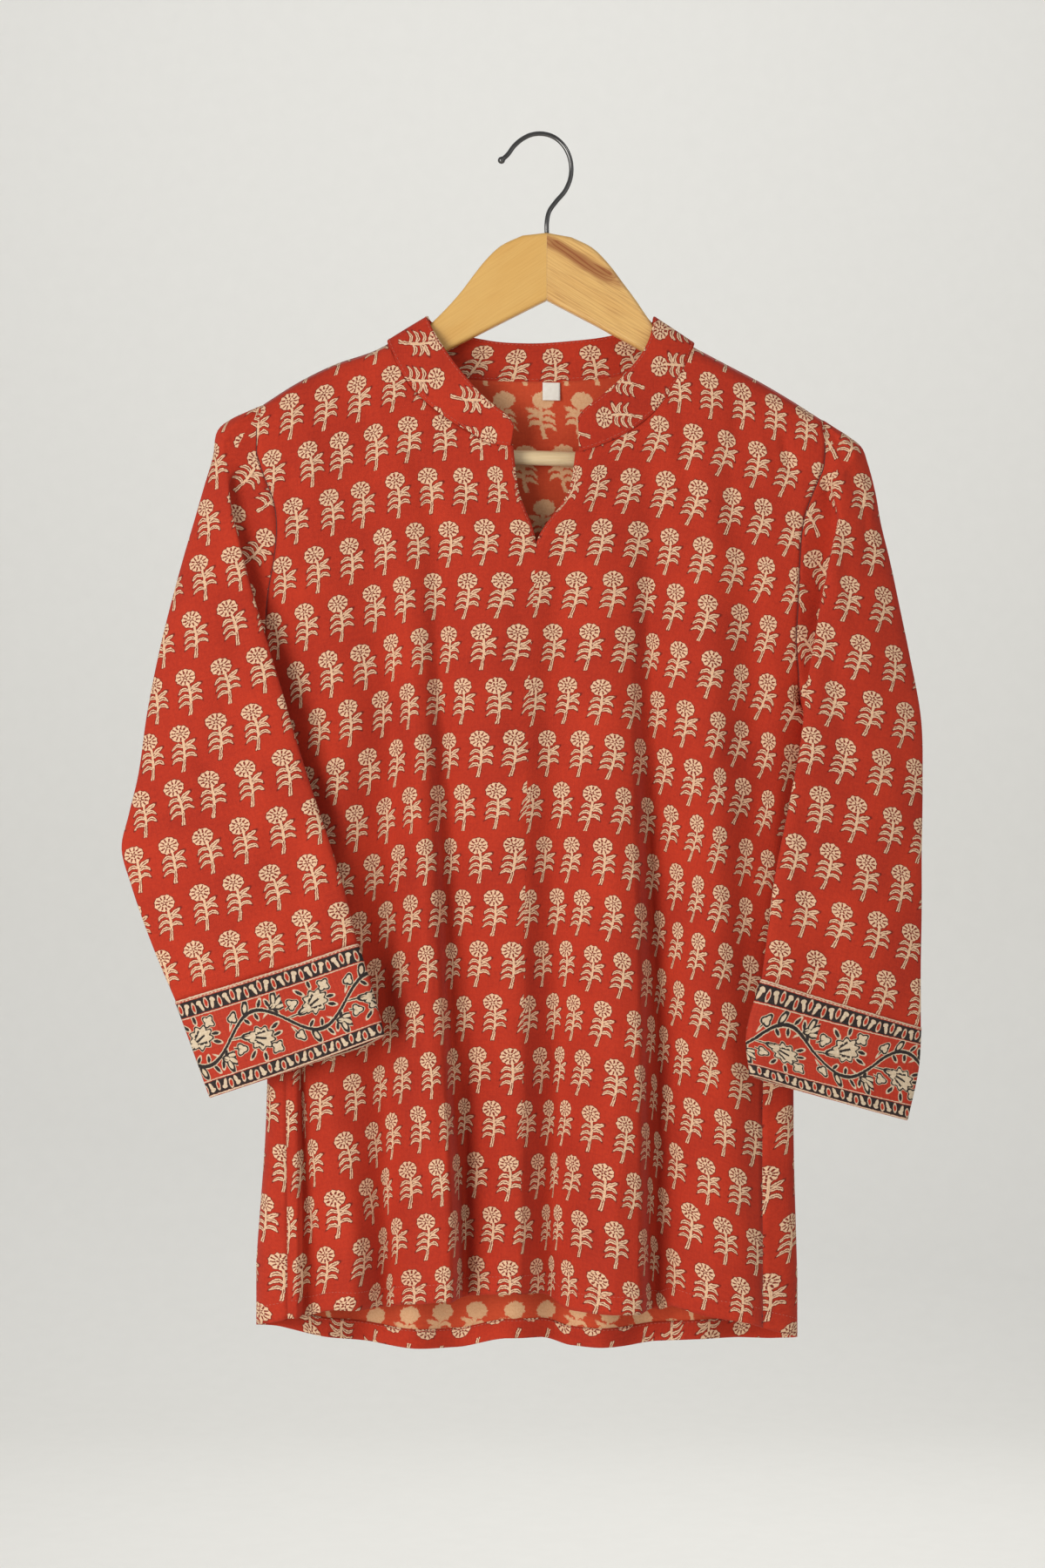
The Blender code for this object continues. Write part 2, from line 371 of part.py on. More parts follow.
class Front:
    """The hang of the front panel, for one side of its centre."""

    def __init__(self, warp, fold):
        self.warp = np.array(warp)
        self.fold = np.array(fold)

    def droop(self, across):
        return smooth(self.warp[:, 0], self.warp[:, 1], across)

    def x_at(self, across, down):
        across = np.atleast_1d(across)
        levels = np.stack([smooth(self.warp[:, 0], column, across) for column in self.warp[:, 2:].T])
        return smooth(-np.array(WARP_LEVELS), levels, -np.atleast_1d(down))

    def forward_at(self, x, down):
        deep = -np.atleast_1d(down)
        levels = -np.array(FOLD_LEVELS)
        places = np.stack([smooth(levels, row[0::2], deep) for row in self.fold])
        values = np.stack([smooth(levels, row[1::2], deep) for row in self.fold])
        return smooth(places, values, np.atleast_1d(x))

    def hang(self, flat):
        across, down = flat[:, 0], flat[:, 1]
        x = self.x_at(across, down)
        z = down - self.droop(across)
        forward = turned_over(self.forward_at(x, down), x, z)
        return np.stack([x, -forward, z], axis=1)

    def flat(self, hung):
        """The flat place of each hung x, z."""
        hung = np.asarray(hung, float)
        low = np.full(len(hung), self.warp[0, 0])
        high = np.full(len(hung), self.warp[-1, 0])
        for _ in range(40):
            middle = (low + high) / 2
            short = self.x_at(middle, hung[:, 1] + self.droop(middle)) < hung[:, 0]
            low = np.where(short, middle, low)
            high = np.where(short, high, middle)
        return np.stack([low, hung[:, 1] + self.droop(low)], axis=1)


class Back:
    """The hang of the back panel, which wraps round to the side seams."""

    def __init__(self):
        self.table = np.array(BACK_HANG)

    def droop(self, across):
        return smooth(self.table[:, 0], self.table[:, 1], across)

    def at_levels(self, first, across, down):
        across = np.atleast_1d(across)
        columns = self.table[:, first::2].T
        levels = np.stack([smooth(self.table[:, 0], column, across) for column in columns])
        return smooth(-np.array(BACK_LEVELS), levels, -np.atleast_1d(down))

    def hang(self, flat):
        across, down = flat[:, 0], flat[:, 1]
        x = self.at_levels(2, across, down)
        z = down - self.droop(across)
        forward = turned_over(self.at_levels(3, across, down), x, z)
        return np.stack([x, -forward, z], axis=1)

    def flat(self, hung):
        hung = np.asarray(hung, float)
        low = np.full(len(hung), self.table[0, 0])
        high = np.full(len(hung), self.table[-1, 0])
        for _ in range(40):
            middle = (low + high) / 2
            short = self.at_levels(2, middle, hung[:, 1] + self.droop(middle)) < hung[:, 0]
            low = np.where(short, middle, low)
            high = np.where(short, high, middle)
        return np.stack([low, hung[:, 1] + self.droop(low)], axis=1)


FRONT_RIGHT = Front(WARP_RIGHT, FOLD_RIGHT)
FRONT_LEFT = Front(WARP_LEFT, FOLD_LEFT)
BACK = Back()


def flat_patch(first, last, top, bottom, shares):
    """Rows of flat points between two side edges, a top edge and a hem.

    "first" and "last" hold where each row starts and ends, and "shares" how far down
    each row is. Rows take the shape of the top edge near it and of the hem near that.
    """
    part = ((top[:, 0] - top[0, 0]) / (top[-1, 0] - top[0, 0]))[:, None]
    top_bow = top - (top[0] + (top[-1] - top[0]) * part)
    hem_bow = bottom - (bottom[0] + (bottom[-1] - bottom[0]) * part)
    return [
        start + (end - start) * part + top_bow * (1 - share) + hem_bow * share
        for start, end, share in zip(first, last, shares)
    ]


def material(name, colour, roughness, metallic=0.0):
    made = bpy.data.materials.new(name)
    made.use_nodes = True
    shader = made.node_tree.nodes["Principled BSDF"]
    shader.inputs["Base Color"].default_value = colour
    shader.inputs["Roughness"].default_value = roughness
    shader.inputs["Metallic"].default_value = metallic
    made.diffuse_color = colour
    return made


def add_object(name, points, faces, finish):
    mesh = bpy.data.meshes.new(name)
    mesh.from_pydata([tuple(point * MM) for point in np.asarray(points)], [], faces)
    mesh.validate()
    mesh.materials.append(finish)
    mesh.shade_smooth()
    made = bpy.data.objects.new(name, mesh)
    bpy.context.scene.collection.objects.link(made)
    return made


def triangles(quads):
    """Each quad cut along the same diagonal, so that both sides of a wall match."""
    return [(a, b, c) for a, b, c, d in quads] + [(a, c, d) for a, b, c, d in quads]


def normals_of(points, faces):
    corners = points[np.array(faces)]
    across = np.cross(corners[:, 1] - corners[:, 0], corners[:, 2] - corners[:, 0])
    normals = np.zeros_like(points)
    for i in range(3):
        np.add.at(normals, np.array(faces)[:, i], across)
    return normals / np.linalg.norm(normals, axis=1)[:, None]


def add_cloth(name, points, quads, thickness, finish, moved=0.0, normals=None):
    """A closed wall of the given thickness round a sheet, moved along its normals."""
    points = np.asarray(points, float)
    faces = triangles(quads)
    normals = normals_of(points, faces) if normals is None else normals
    middle = points + normals * moved
    outer = middle + normals * thickness / 2
    inner = middle - normals * thickness / 2
    count = len(points)
    walls = [(a, b, c) for a, b, c in faces] + [(a + count, c + count, b + count) for a, b, c in faces]
    edges = {(face[i], face[(i + 1) % 3]) for face in faces for i in range(3)}
    for a, b in sorted(edges):
        if (b, a) not in edges:
            walls.append((b, a, a + count))
            walls.append((b, a + count, b + count))
    return add_object(name, np.concatenate([outer, inner]), walls, finish)


def grid_quads(ids, other_way=False):
    """Quads between rows of point numbers, facing forward when rows rise and run to +X.

    They are cut from corner to corner later, and "other_way" picks the other corners.
    """
    ids = np.asarray(ids)
    quads = [
        (int(ids[r, c]), int(ids[r, c + 1]), int(ids[r + 1, c + 1]), int(ids[r + 1, c]))
        for r in range(ids.shape[0] - 1)
        for c in range(ids.shape[1] - 1)
    ]
    return [quad[1:] + quad[:1] for quad in quads] if other_way else quads


def armhole(sleeve, shoulder_end, bottom):
    """The edge that the sleeve is sewn to, from the shoulder down."""
    tip, seam = np.array(shoulder_end), np.array([row[9:11] for row in sleeve[:OPEN_SECTIONS]])
    near_tip = [tip + (seam[0] - tip) * share for share in (0.0, 0.3, 0.65)]
    return np.array([*near_tip, *seam, bottom])


def side_edge(hang, arm, side, hem):
    """Flat places down a panel's side: its armhole, then its side seam."""
    edge = hang.flat(arm)
    seam = [edge[-1], (side, CHEST), hem]
    return np.concatenate([edge, along(seam, np.arange(1, SIDE_ROWS + 1) / SIDE_ROWS)])


def edge_line(parts, counts):
    """One line of points from joined edges, each with its own number of steps."""
    made = [along(part, np.arange(count) / count) for part, count in zip(parts, counts)]
    return np.concatenate(made + [np.asarray(parts[-1], float)[-1:]])


def spread(stops, counts):
    """Even steps between each two stops."""
    steps = [np.linspace(a, b, count, endpoint=False) for a, b, count in zip(stops[:-1], stops[1:], counts)]
    return np.concatenate(steps + [[stops[-1]]])


def shares_down(edge):
    return (edge[0, 1] - edge[:, 1]) / (edge[0, 1] - edge[-1, 1])


def hem_line(hem, droop, across):
    hem = np.array(hem)
    return np.stack([across, smooth(hem[:, 0], hem[:, 1], across) + droop(across)], axis=1)


SIDE_ROWS = 11  # rows between the underarm and the hem
SLIT_ROW = 9  # the row, from the top, that ends at the bottom of the neck slit
FRONT_SHOULDER_STEPS, FRONT_NECK_STEPS = 9, 12
BACK_SHOULDER_STEPS, BACK_NECK_STEPS = 6, 14


class Sheet:
    """A panel's middle surface: its points, their normals and its rows of point numbers."""

    def __init__(self, points, rows):
        self.points = np.asarray(points)
        self.rows = rows
        self.quads = grid_quads(rows[0]) + grid_quads(rows[1], other_way=True)
        self.normals = normals_of(self.points, triangles(self.quads))

    def between(self, first, second, share):
        """Points and normals part of the way from some of its points to their neighbours."""
        share = np.asarray(share, float).reshape(-1, 1)
        points = self.points[first] + (self.points[second] - self.points[first]) * share
        normals = self.normals[first] + (self.normals[second] - self.normals[first]) * share
        return points, normals


def centre_edge(neck, hem, shares):
    """Flat places down the centre front, with one at the bottom of the neck slit."""
    stops = (0.0, shares[SLIT_ROW], 1.0)
    down = np.interp(shares, stops, (neck, SLIT_BOTTOM, hem))
    return np.stack([np.full_like(down, SLIT_EDGE), down], axis=1)


def front_flat():
    """Flat rows of the two halves of the front."""
    counts = (FRONT_SHOULDER_STEPS, FRONT_NECK_STEPS)
    top = FRONT_RIGHT.flat(edge_line((SHOULDER_RIGHT, NECK_RIGHT), counts))
    top[-1, 0] = SLIT_EDGE
    hem = hem_line(HEM_FRONT, FRONT_RIGHT.droop, spread((-249.0, -140.0, SLIT_EDGE), counts))
    arm = armhole(SLEEVE_RIGHT, SHOULDER_RIGHT[0], ARMHOLE_END_RIGHT)
    side = side_edge(FRONT_RIGHT, arm, -249.0, hem[0])
    shares = shares_down(side)
    right = flat_patch(side, centre_edge(top[-1, 1], hem[-1, 1], shares), top, hem, shares)

    counts = counts[::-1]
    top = FRONT_LEFT.flat(edge_line((NECK_LEFT, SHOULDER_LEFT), counts))
    top[0, 0] = SLIT_EDGE
    hem = hem_line(HEM_FRONT, FRONT_LEFT.droop, spread((SLIT_EDGE, 125.0, 255.0), counts))
    arm = armhole(SLEEVE_LEFT, SHOULDER_LEFT[-1], ARMHOLE_END_LEFT)
    side = side_edge(FRONT_LEFT, arm, 255.0, hem[-1])
    shares = shares_down(side)
    left = flat_patch(centre_edge(top[0, 1], hem[0, 1], shares), side, top, hem, shares)
    return right[::-1], left[::-1]


def front_sheet():
    """The front hung, its halves joined below the slit, and the row at the slit's bottom."""
    right, left = front_flat()
    slit_row = len(right) - 1 - SLIT_ROW
    points, right_rows, left_rows = [], [], []
    for number, (right_row, left_row) in enumerate(zip(right, left)):
        right_hung, left_hung = FRONT_RIGHT.hang(right_row), FRONT_LEFT.hang(left_row)
        start = len(points)
        points.extend(right_hung)
        right_rows.append(list(range(start, len(points))))
        if number <= slit_row:
            points[-1] = (right_hung[-1] + left_hung[0]) / 2
            points.extend(left_hung[1:])
            left_rows.append(list(range(right_rows[-1][-1], len(points))))
        else:
            points.extend(left_hung)
            left_rows.append(list(range(right_rows[-1][-1] + 1, len(points))))
    return Sheet(points, [right_rows, left_rows]), slit_row


def back_flat():
    counts = (BACK_SHOULDER_STEPS, BACK_NECK_STEPS, BACK_SHOULDER_STEPS)
    top = BACK.flat(edge_line((SHOULDER_RIGHT, NECK_BACK, SHOULDER_LEFT), counts))
    hem = hem_line(HEM_BACK, BACK.droop, spread((-249.0, -140.0, 140.0, 255.0), counts))
    right = side_edge(BACK, armhole(SLEEVE_RIGHT, SHOULDER_RIGHT[0], ARMHOLE_END_RIGHT), -249.0, hem[0])
    left = side_edge(BACK, armhole(SLEEVE_LEFT, SHOULDER_LEFT[-1], ARMHOLE_END_LEFT), 255.0, hem[-1])
    shares = (shares_down(right) + shares_down(left)) / 2
    return flat_patch(right, left, top, hem, shares)[::-1]


def back_sheet():
    rows = back_flat()
    hung = [BACK.hang(row) for row in rows]
    numbers = np.arange(len(rows) * len(rows[0])).reshape(len(rows), -1)
    centre = len(rows[0]) // 2
    return Sheet(np.concatenate(hung), [numbers[:, : centre + 1].tolist(), numbers[:, centre:].tolist()])


def build_hem(name, sheet, inward, finish):
    """The turned-up hem, a strip laid inside the panel along its lowest row."""
    first = [row for part in sheet.rows for row in part[0]]
    above = [row for part in sheet.rows for row in part[1]]
    kept = [i for i in range(len(first)) if i == 0 or first[i] != first[i - 1]]
    first, above = np.array(first)[kept], np.array(above)[kept]
    height = np.linalg.norm(sheet.points[above] - sheet.points[first], axis=1)
    points, normals = [], []
    for up in (1.0, HEM_DEPTH):
        place, normal = sheet.between(first, above, up / height)
        for end, inner in ((0, 1), (-1, -2)):
            share = 2.0 / np.linalg.norm(place[inner] - place[end])
            place[end] += (place[inner] - place[end]) * share
            normal[end] += (normal[inner] - normal[end]) * share
        points.append(place)
        normals.append(normal)
    numbers = np.arange(2 * len(first)).reshape(2, -1)
    moved = inward * (CLOTH + LAYER_GAP)
    points, normals = np.concatenate(points), np.concatenate(normals)
    add_cloth(name, points, grid_quads(numbers), CLOTH, finish, moved, normals)


def build_slit_facing(name, sheet, half, slit_row, finish):
    """The narrow turning along one edge of the neck slit, inside the front."""
    rows = sheet.rows[half][slit_row:]
    edge = np.array([row[-1] if half == 0 else row[0] for row in rows])
    beside = np.array([row[-2] if half == 0 else row[1] for row in rows])
    width = np.linalg.norm(sheet.points[beside] - sheet.points[edge], axis=1)
    points, normals = [], []
    for distance in (0.8, FACING_WIDTH) if half == 1 else (FACING_WIDTH, 0.8):
        place, normal = sheet.between(edge, beside, distance / width)
        for end, inner, gap in ((0, 1, 4.0), (-1, -2, 1.2)):
            share = gap / np.linalg.norm(place[inner] - place[end])
            place[end] += (place[inner] - place[end]) * share
            normal[end] += (normal[inner] - normal[end]) * share
        points.append(place)
        normals.append(normal)
    count = len(rows)
    numbers = np.arange(2 * count).reshape(2, -1).T
    points, normals = np.concatenate(points), np.concatenate(normals)
    add_cloth(name, points, grid_quads(numbers), CLOTH, finish, -(CLOTH + LAYER_GAP), normals)


SLEEVE_STEPS = (2, 2, 3, 3, 3, 3, 3, 3)


def section(row, seam_front, seam_back, closed):
    """One section round a sleeve, from its seam over the front and back again."""
    outer, inner, foot = np.array(row[0:3]), np.array(row[3:6]), np.array(row[6:9])
    front, back = row[12], row[13]
    nodes = [seam_front, foot, inner]
    for share, keep in ((0.34, 1.0), (0.70, 0.72)):
        point = inner + (outer - inner) * share
        nodes.append(np.array([point[0], point[1], outer[2] + (front - outer[2]) * keep]))
    nodes.append(outer)
    for share, keep in ((0.34, 0.8), (0.70, 1.0)):
        point = outer + (seam_back - outer) * share
        nodes.append(np.array([point[0], point[1], outer[2] + (back - outer[2]) * keep]))
    nodes.append(seam_back)
    curve = through(nodes, SLEEVE_STEPS, closed)
    return np.stack([curve[:, 0], -curve[:, 2], curve[:, 1]], axis=1)


def armhole_depths(front, x, z, outward):
    """How far forward the front and the back panel stand at a place on the armhole."""
    place = np.array([(x - outward, z)])
    return -front.hang(front.flat(place))[0, 1], -BACK.hang(BACK.flat(place))[0, 1]


def build_sleeve(name, table, front, outward, finish):
    points, ids = [], []
    for number, row in enumerate(table):
        start = len(points)
        if number < OPEN_SECTIONS:
            x, z = row[9] + outward, row[10]
            ahead, behind = armhole_depths(front, x, z, outward)
            ring = section(row, np.array([x, z, ahead]), np.array([x, z, behind]), False)
            points.extend(ring)
            ids.append(list(range(start, start + len(ring))))
        else:
            seam = np.array(row[9:12])
            ring = section(row, seam, seam, True)
            points.extend(ring)
            ids.append(list(range(start, start + len(ring))) + [start])
    quads = grid_quads(ids)
    return add_cloth(name, points, quads, CLOTH, finish)


def build_cuff(name, table, finish):
    """A doubled border band sewn to the end of the sleeve."""
    rings = [section(row, np.array(row[9:12]), np.array(row[9:12]), True) for row in table]
    step = rings[1] - rings[0]
    rings[0] = rings[0] + step / np.linalg.norm(step, axis=1)[:, None] * 2 * SEAM_GAP
    count = len(rings[0])
    ids = [[r * count + c % count for c in range(count + 1)] for r in range(len(rings))]
    return add_cloth(name, np.concatenate(rings), grid_quads(ids), CUFF, finish)


def build_collar(finish):
    rows = []
    for seam_x, seam_z, seam_f, free_x, free_z, free_f in COLLAR:
        seam, free = np.array([seam_x, -seam_f, seam_z]), np.array([free_x, -free_f, free_z])
        seam = seam + (free - seam) / np.linalg.norm(free - seam) * COLLAR_SEAM
        middle = (seam + free) / 2 + np.array([0.0, -0.8 if seam_f > 0 else 0.0, 0.0])
        rows.append((seam, middle, free))
    points = np.array(rows).transpose(1, 0, 2).reshape(-1, 3)
    ids = np.arange(len(points)).reshape(3, -1)
    return add_cloth("collar", points, grid_quads(ids), BAND, finish)


def build_size_label(finish):
    x = np.linspace(SIZE_LABEL["left"], SIZE_LABEL["right"], 4)
    rows = []
    for z in np.linspace(SIZE_LABEL["bottom"], SIZE_LABEL["top"], 4):
        rows.append(BACK.hang(BACK.flat(np.stack([x, np.full(4, z)], axis=1))))
    ids = np.arange(16).reshape(4, 4)
    return add_cloth("size_label", np.concatenate(rows), grid_quads(ids), 0.8, finish, CLOTH + LAYER_GAP)


def build_hanger_half(name, edge, mitre_x, finish):
    """A flat board with rounded edges, cut square at the mitre."""
    ring = [(mitre_x, MITRE_TOP), *edge, (mitre_x, MITRE_BOTTOM)]
    mesh = bmesh.new()
    corners = [mesh.verts.new((x * MM, -WOOD / 2 * MM, z * MM)) for x, z in ring]
    face = mesh.faces.new(corners)
    made = bmesh.ops.extrude_face_region(mesh, geom=[face])
    grown = [item for item in made["geom"] if isinstance(item, bmesh.types.BMVert)]
    bmesh.ops.translate(mesh, verts=grown, vec=(0.0, WOOD * MM, 0.0))
    bmesh.ops.recalc_face_normals(mesh, faces=mesh.faces)
    data = bpy.data.meshes.new(name)
    mesh.to_mesh(data)
    mesh.free()
    data.materials.append(finish)
    board = bpy.data.objects.new(name, data)
    bpy.context.scene.collection.objects.link(board)
    edges = board.modifiers.new("rounded_edges", "BEVEL")
    edges.width = WOOD_EDGE * MM
    edges.segments = 2
    edges.limit_method = "ANGLE"
    edges.angle_limit = math.radians(60)
    return board


def build_bar(finish):
    (x0, z0), (x1, z1) = BAR_ENDS
    length = math.hypot(x1 - x0, z1 - z0)
    bpy.ops.mesh.primitive_cylinder_add(vertices=20, radius=BAR_RADIUS * MM, depth=length * MM)
    bar = bpy.context.object
    bar.name = bar.data.name = "hanger_bar"
    bar.location = ((x0 + x1) / 2 * MM, 0.0, (z0 + z1) / 2 * MM)
    bar.rotation_euler = (0.0, math.pi / 2 + math.atan2(z0 - z1, x1 - x0), 0.0)
    bar.data.materials.append(finish)
    bar.data.shade_smooth()
    bar.data.set_sharp_from_angle(angle=math.radians(40))
    return bar


def build_hook(finish):
    """A bent wire with a rounded tip."""
    path = through(np.array(HOOK), [1] + [3] * (len(HOOK) - 2))
    sides = 10
    points = []
    for number, (x, z) in enumerate(path):
        before, after = path[max(number - 1, 0)], path[min(number + 1, len(path) - 1)]
        run = (after - before) / np.linalg.norm(after - before)
        from_tip = np.linalg.norm(path[number] - path[0])
        bulb = TIP_RADIUS**2 - (from_tip - TIP_RADIUS * 0.85) ** 2
        radius = max(WIRE_RADIUS, math.sqrt(max(bulb, 0.0)))
        for side in range(sides):
            angle = 2 * math.pi * side / sides
            out = radius * math.cos(angle)
            points.append((x + run[1] * out, radius * math.sin(angle), z - run[0] * out))
    rings = np.arange(len(points)).reshape(-1, sides)
    faces = [
        (int(rings[r, s]), int(rings[r, (s + 1) % sides]), int(rings[r + 1, (s + 1) % sides]), int(rings[r + 1, s]))
        for r in range(len(rings) - 1)
        for s in range(sides)
    ]
    faces.append(tuple(int(i) for i in rings[0][::-1]))
    faces.append(tuple(int(i) for i in rings[-1]))
    hook = add_object("hook", points, faces, finish)
    mesh = bmesh.new()
    mesh.from_mesh(hook.data)
    bmesh.ops.recalc_face_normals(mesh, faces=mesh.faces)
    mesh.to_mesh(hook.data)
    mesh.free()
    return hook


def main():
    for old in list(bpy.data.objects):
        bpy.data.objects.remove(old)

    printed = material("block_printed_cotton", RED, 0.85)
    inside = material("printed_cotton_inside", RED_INSIDE, 0.85)
    border = material("border_printed_cotton", BORDER, 0.85)
    pine = material("lacquered_pine", PINE, 0.35)
    dowel = material("plain_dowel", DOWEL, 0.55)
    steel = material("chromed_wire", STEEL, 0.18, 1.0)
    tape = material("label_tape", LABEL, 0.7)

    front, slit_row = front_sheet()
    back = back_sheet()
    add_cloth("front", front.points, front.quads, CLOTH, printed)
    add_cloth("back", back.points, back.quads, CLOTH, printed)
    build_hem("front_hem", front, -1, inside)
    build_hem("back_hem", back, 1, inside)
    build_slit_facing("slit_facing_right", front, 0, slit_row, inside)
    build_slit_facing("slit_facing_left", front, 1, slit_row, inside)
    build_sleeve("sleeve_right", SLEEVE_RIGHT, FRONT_RIGHT, -1.2, printed)
    build_sleeve("sleeve_left", SLEEVE_LEFT, FRONT_LEFT, 1.2, printed)
    build_cuff("cuff_right", CUFF_RIGHT, border)
    build_cuff("cuff_left", CUFF_LEFT, border)
    build_collar(printed)
    build_size_label(tape)
    build_hanger_half("hanger_right", HANGER_RIGHT, MITRE_X - 0.15, pine)
    build_hanger_half("hanger_left", HANGER_LEFT, MITRE_X + 0.15, pine)
    build_bar(dowel)
    build_hook(steel)


main()
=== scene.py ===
import functools
import json
import math

import bmesh
import bpy
import numpy as np
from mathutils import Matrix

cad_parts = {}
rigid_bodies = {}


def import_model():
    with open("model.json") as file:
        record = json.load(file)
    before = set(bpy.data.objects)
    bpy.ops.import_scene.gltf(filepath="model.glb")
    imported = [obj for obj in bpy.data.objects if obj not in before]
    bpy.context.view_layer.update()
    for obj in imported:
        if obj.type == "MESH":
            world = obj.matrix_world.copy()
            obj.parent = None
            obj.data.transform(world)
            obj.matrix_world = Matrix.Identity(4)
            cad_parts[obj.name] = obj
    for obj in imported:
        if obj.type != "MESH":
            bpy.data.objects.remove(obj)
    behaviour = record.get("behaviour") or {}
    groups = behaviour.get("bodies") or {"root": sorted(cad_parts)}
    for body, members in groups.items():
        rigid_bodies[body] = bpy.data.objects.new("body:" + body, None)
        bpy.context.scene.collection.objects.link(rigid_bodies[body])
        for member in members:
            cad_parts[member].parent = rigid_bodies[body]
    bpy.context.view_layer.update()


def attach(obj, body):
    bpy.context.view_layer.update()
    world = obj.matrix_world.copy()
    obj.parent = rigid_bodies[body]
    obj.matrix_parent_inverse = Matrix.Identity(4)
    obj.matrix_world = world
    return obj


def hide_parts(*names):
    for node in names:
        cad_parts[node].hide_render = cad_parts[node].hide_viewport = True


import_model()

# A short block-printed cotton kurta on a wooden hanger. Lengths are millimetres until
# a mesh is made. x is across, z is up from the hook's crown, and "forward" is towards -Y.
# "left" and "right" are the wearer's. Flat places are "across" from the centre front and
# "down" along the cloth. The hang tables carry a flat place to where it lies.
mm = 0.001

slitEdge = -3.9  # the neck slit is cut just right of the centre
slitBottom = -285.9
chest = -400.0
shoulderRound = 12.0
underCollar = ((-60.0, -115.5), (-10.0, -80.0), (20.0, -82.0), (66.0, -118.0))
seamGap = 0.12
halvings = 36  # how often the search for a flat place halves its range

# Heights, as "down", at which the lengthwise threads are placed.
warpLevels = (-201, -244, -285.9, -383, -637, -749)
#   across, droop,  x at each of the levels above
warpRight = (
    (-249, 36.3, -230, -225, -219, -191.5, -174.7, -173.5),
    (-236, 33.9, -219, -214.7, -209, -187, -166.3, -166.3),
    (-209.5, 28.4, -196.5, -193, -188.5, -174.5, -162, -147),
    (-183.5, 21.8, -173.5, -169.5, -166, -154.5, -140.5, -122),
    (-157, 15.7, -149.5, -145.5, -142, -132, -119.5, -108.5),
    (-131, 9.7, -126.5, -123, -119, -109.5, -104.5, -100),
    (-105, 3.6, -103.5, -100, -97, -92, -86.5, -77),
    (-78.5, 1.2, -79, -76.5, -74.5, -72, -67.5, -59),
    (-52.5, 0.6, -55.5, -52, -50.5, -54, -53.5, -53),
    (-26, 0, -35, -29, -25, -29.5, -32, -33.5),
    (slitEdge, 0, -20, -15.5, -2.8, -7.5, -12, -13.5),
)
warpLeft = (
    (slitEdge, 0, 26.5, 21, -2.8, -7.5, -12, -13.5),
    (26, 0, 49.5, 37.5, 27.5, 18, 7.5, 4),
    (52.5, 0.6, 71.5, 61, 53, 42, 20.5, 12),
    (78.5, 3.6, 94, 84.5, 77, 65.5, 39, 27),
    (105, 9.1, 117.5, 107.5, 98.5, 81, 61.5, 51.5),
    (131, 15.7, 139.5, 130, 121, 100, 75, 71),
    (157, 23, 161.5, 152, 143.5, 122, 83, 79),
    (183.5, 30.2, 183.5, 173.5, 164, 138.5, 95.5, 92),
    (209.5, 38.1, 206, 195, 184, 158, 115, 113.5),
    (236, 46.6, 228, 216, 204, 173, 136, 137.5),
    (255, 52.6, 245, 232, 218, 184, 153, 153),
)

# Heights at which each crown and valley of the front's folds is placed.
foldLevels = (-201, -273, -383, -637, -749)
#   x and forward at each of the levels above
foldRight = (
    (-230, 8, -223, 7, -192.5, 0.8, -174.8, 16, -173.1, 23),  # side seam
    (-216, 8, -211, 8, -188, 1.2, -166.9, 17, -166.4, 24),  # tuck beside it
    (-211, 8, -202, 8, -183.5, 1.6, -165.4, 6, -164.9, 9),
    (-171.5, 9.5, -161.5, 12, -136.5, 15, -139.5, 15, -128.5, 26),  # crown
    (-132.5, 9, -120.5, 10.5, -104.5, 7, -107.5, 2, -106.5, 1.5),  # narrow valley
    (-102.5, 10, -95, 13, -86.5, 20, -74.5, 31, -71.5, 33),  # crown
    (-90.5, 10, -85.5, 12.5, -79.5, 18, -67, 29, -61.5, 31),
    (-78.5, 10, -72.5, 11, -69.5, 8, -60.4, 5, -53.8, 3),  # lap
    (-66.5, 10.5, -62, 12, -60, 12, -52.5, 6, -47, 5),
    (-36, 14, -29, 16, -27, 21, -18, 23, -19.5, 22),  # crown
    (-20, 15, -7.5, 17, -7.5, 20.5, -12, 23, -13.5, 22),  # centre
)
foldLeft = (
    (26.5, 15, 4.5, 17, -7.5, 20.5, -12, 23, -13.5, 22),  # centre
    (31, 15, 15, 16.5, 8.5, 15, 12, 4, 8.5, 0),  # valley
    (48, 13.5, 42, 17, 50.5, 23, 52.5, 32, 51, 34),  # crown
    (61.5, 13, 61, 15.5, 62, 20, 67, 30, 67, 31),
    (75, 12, 77, 11, 74, 5, 81.7, -1, 81.1, -1),  # deepest valley
    (87, 12, 87.5, 13, 82.5, 9, 87.5, 5, 88, 6),
    (99, 12.5, 99, 15.5, 89, 11, 99, 17, 99, 19),
    (117, 13, 117, 19, 118.5, 22, 122.5, 24, 124, 28),  # crown
    (138.5, 11, 145.5, 11, 149.5, 8, 139, 20, 140, 27),
    (159.5, 10.5, 159.5, 13, 164.5, 10, 146.5, 14, 147, 24),
    (245.5, 8, 223.5, 7, 185, 1, 153.5, 10, 153, 18),  # side seam
)

backLevels = (-201, -383, -637, -749)
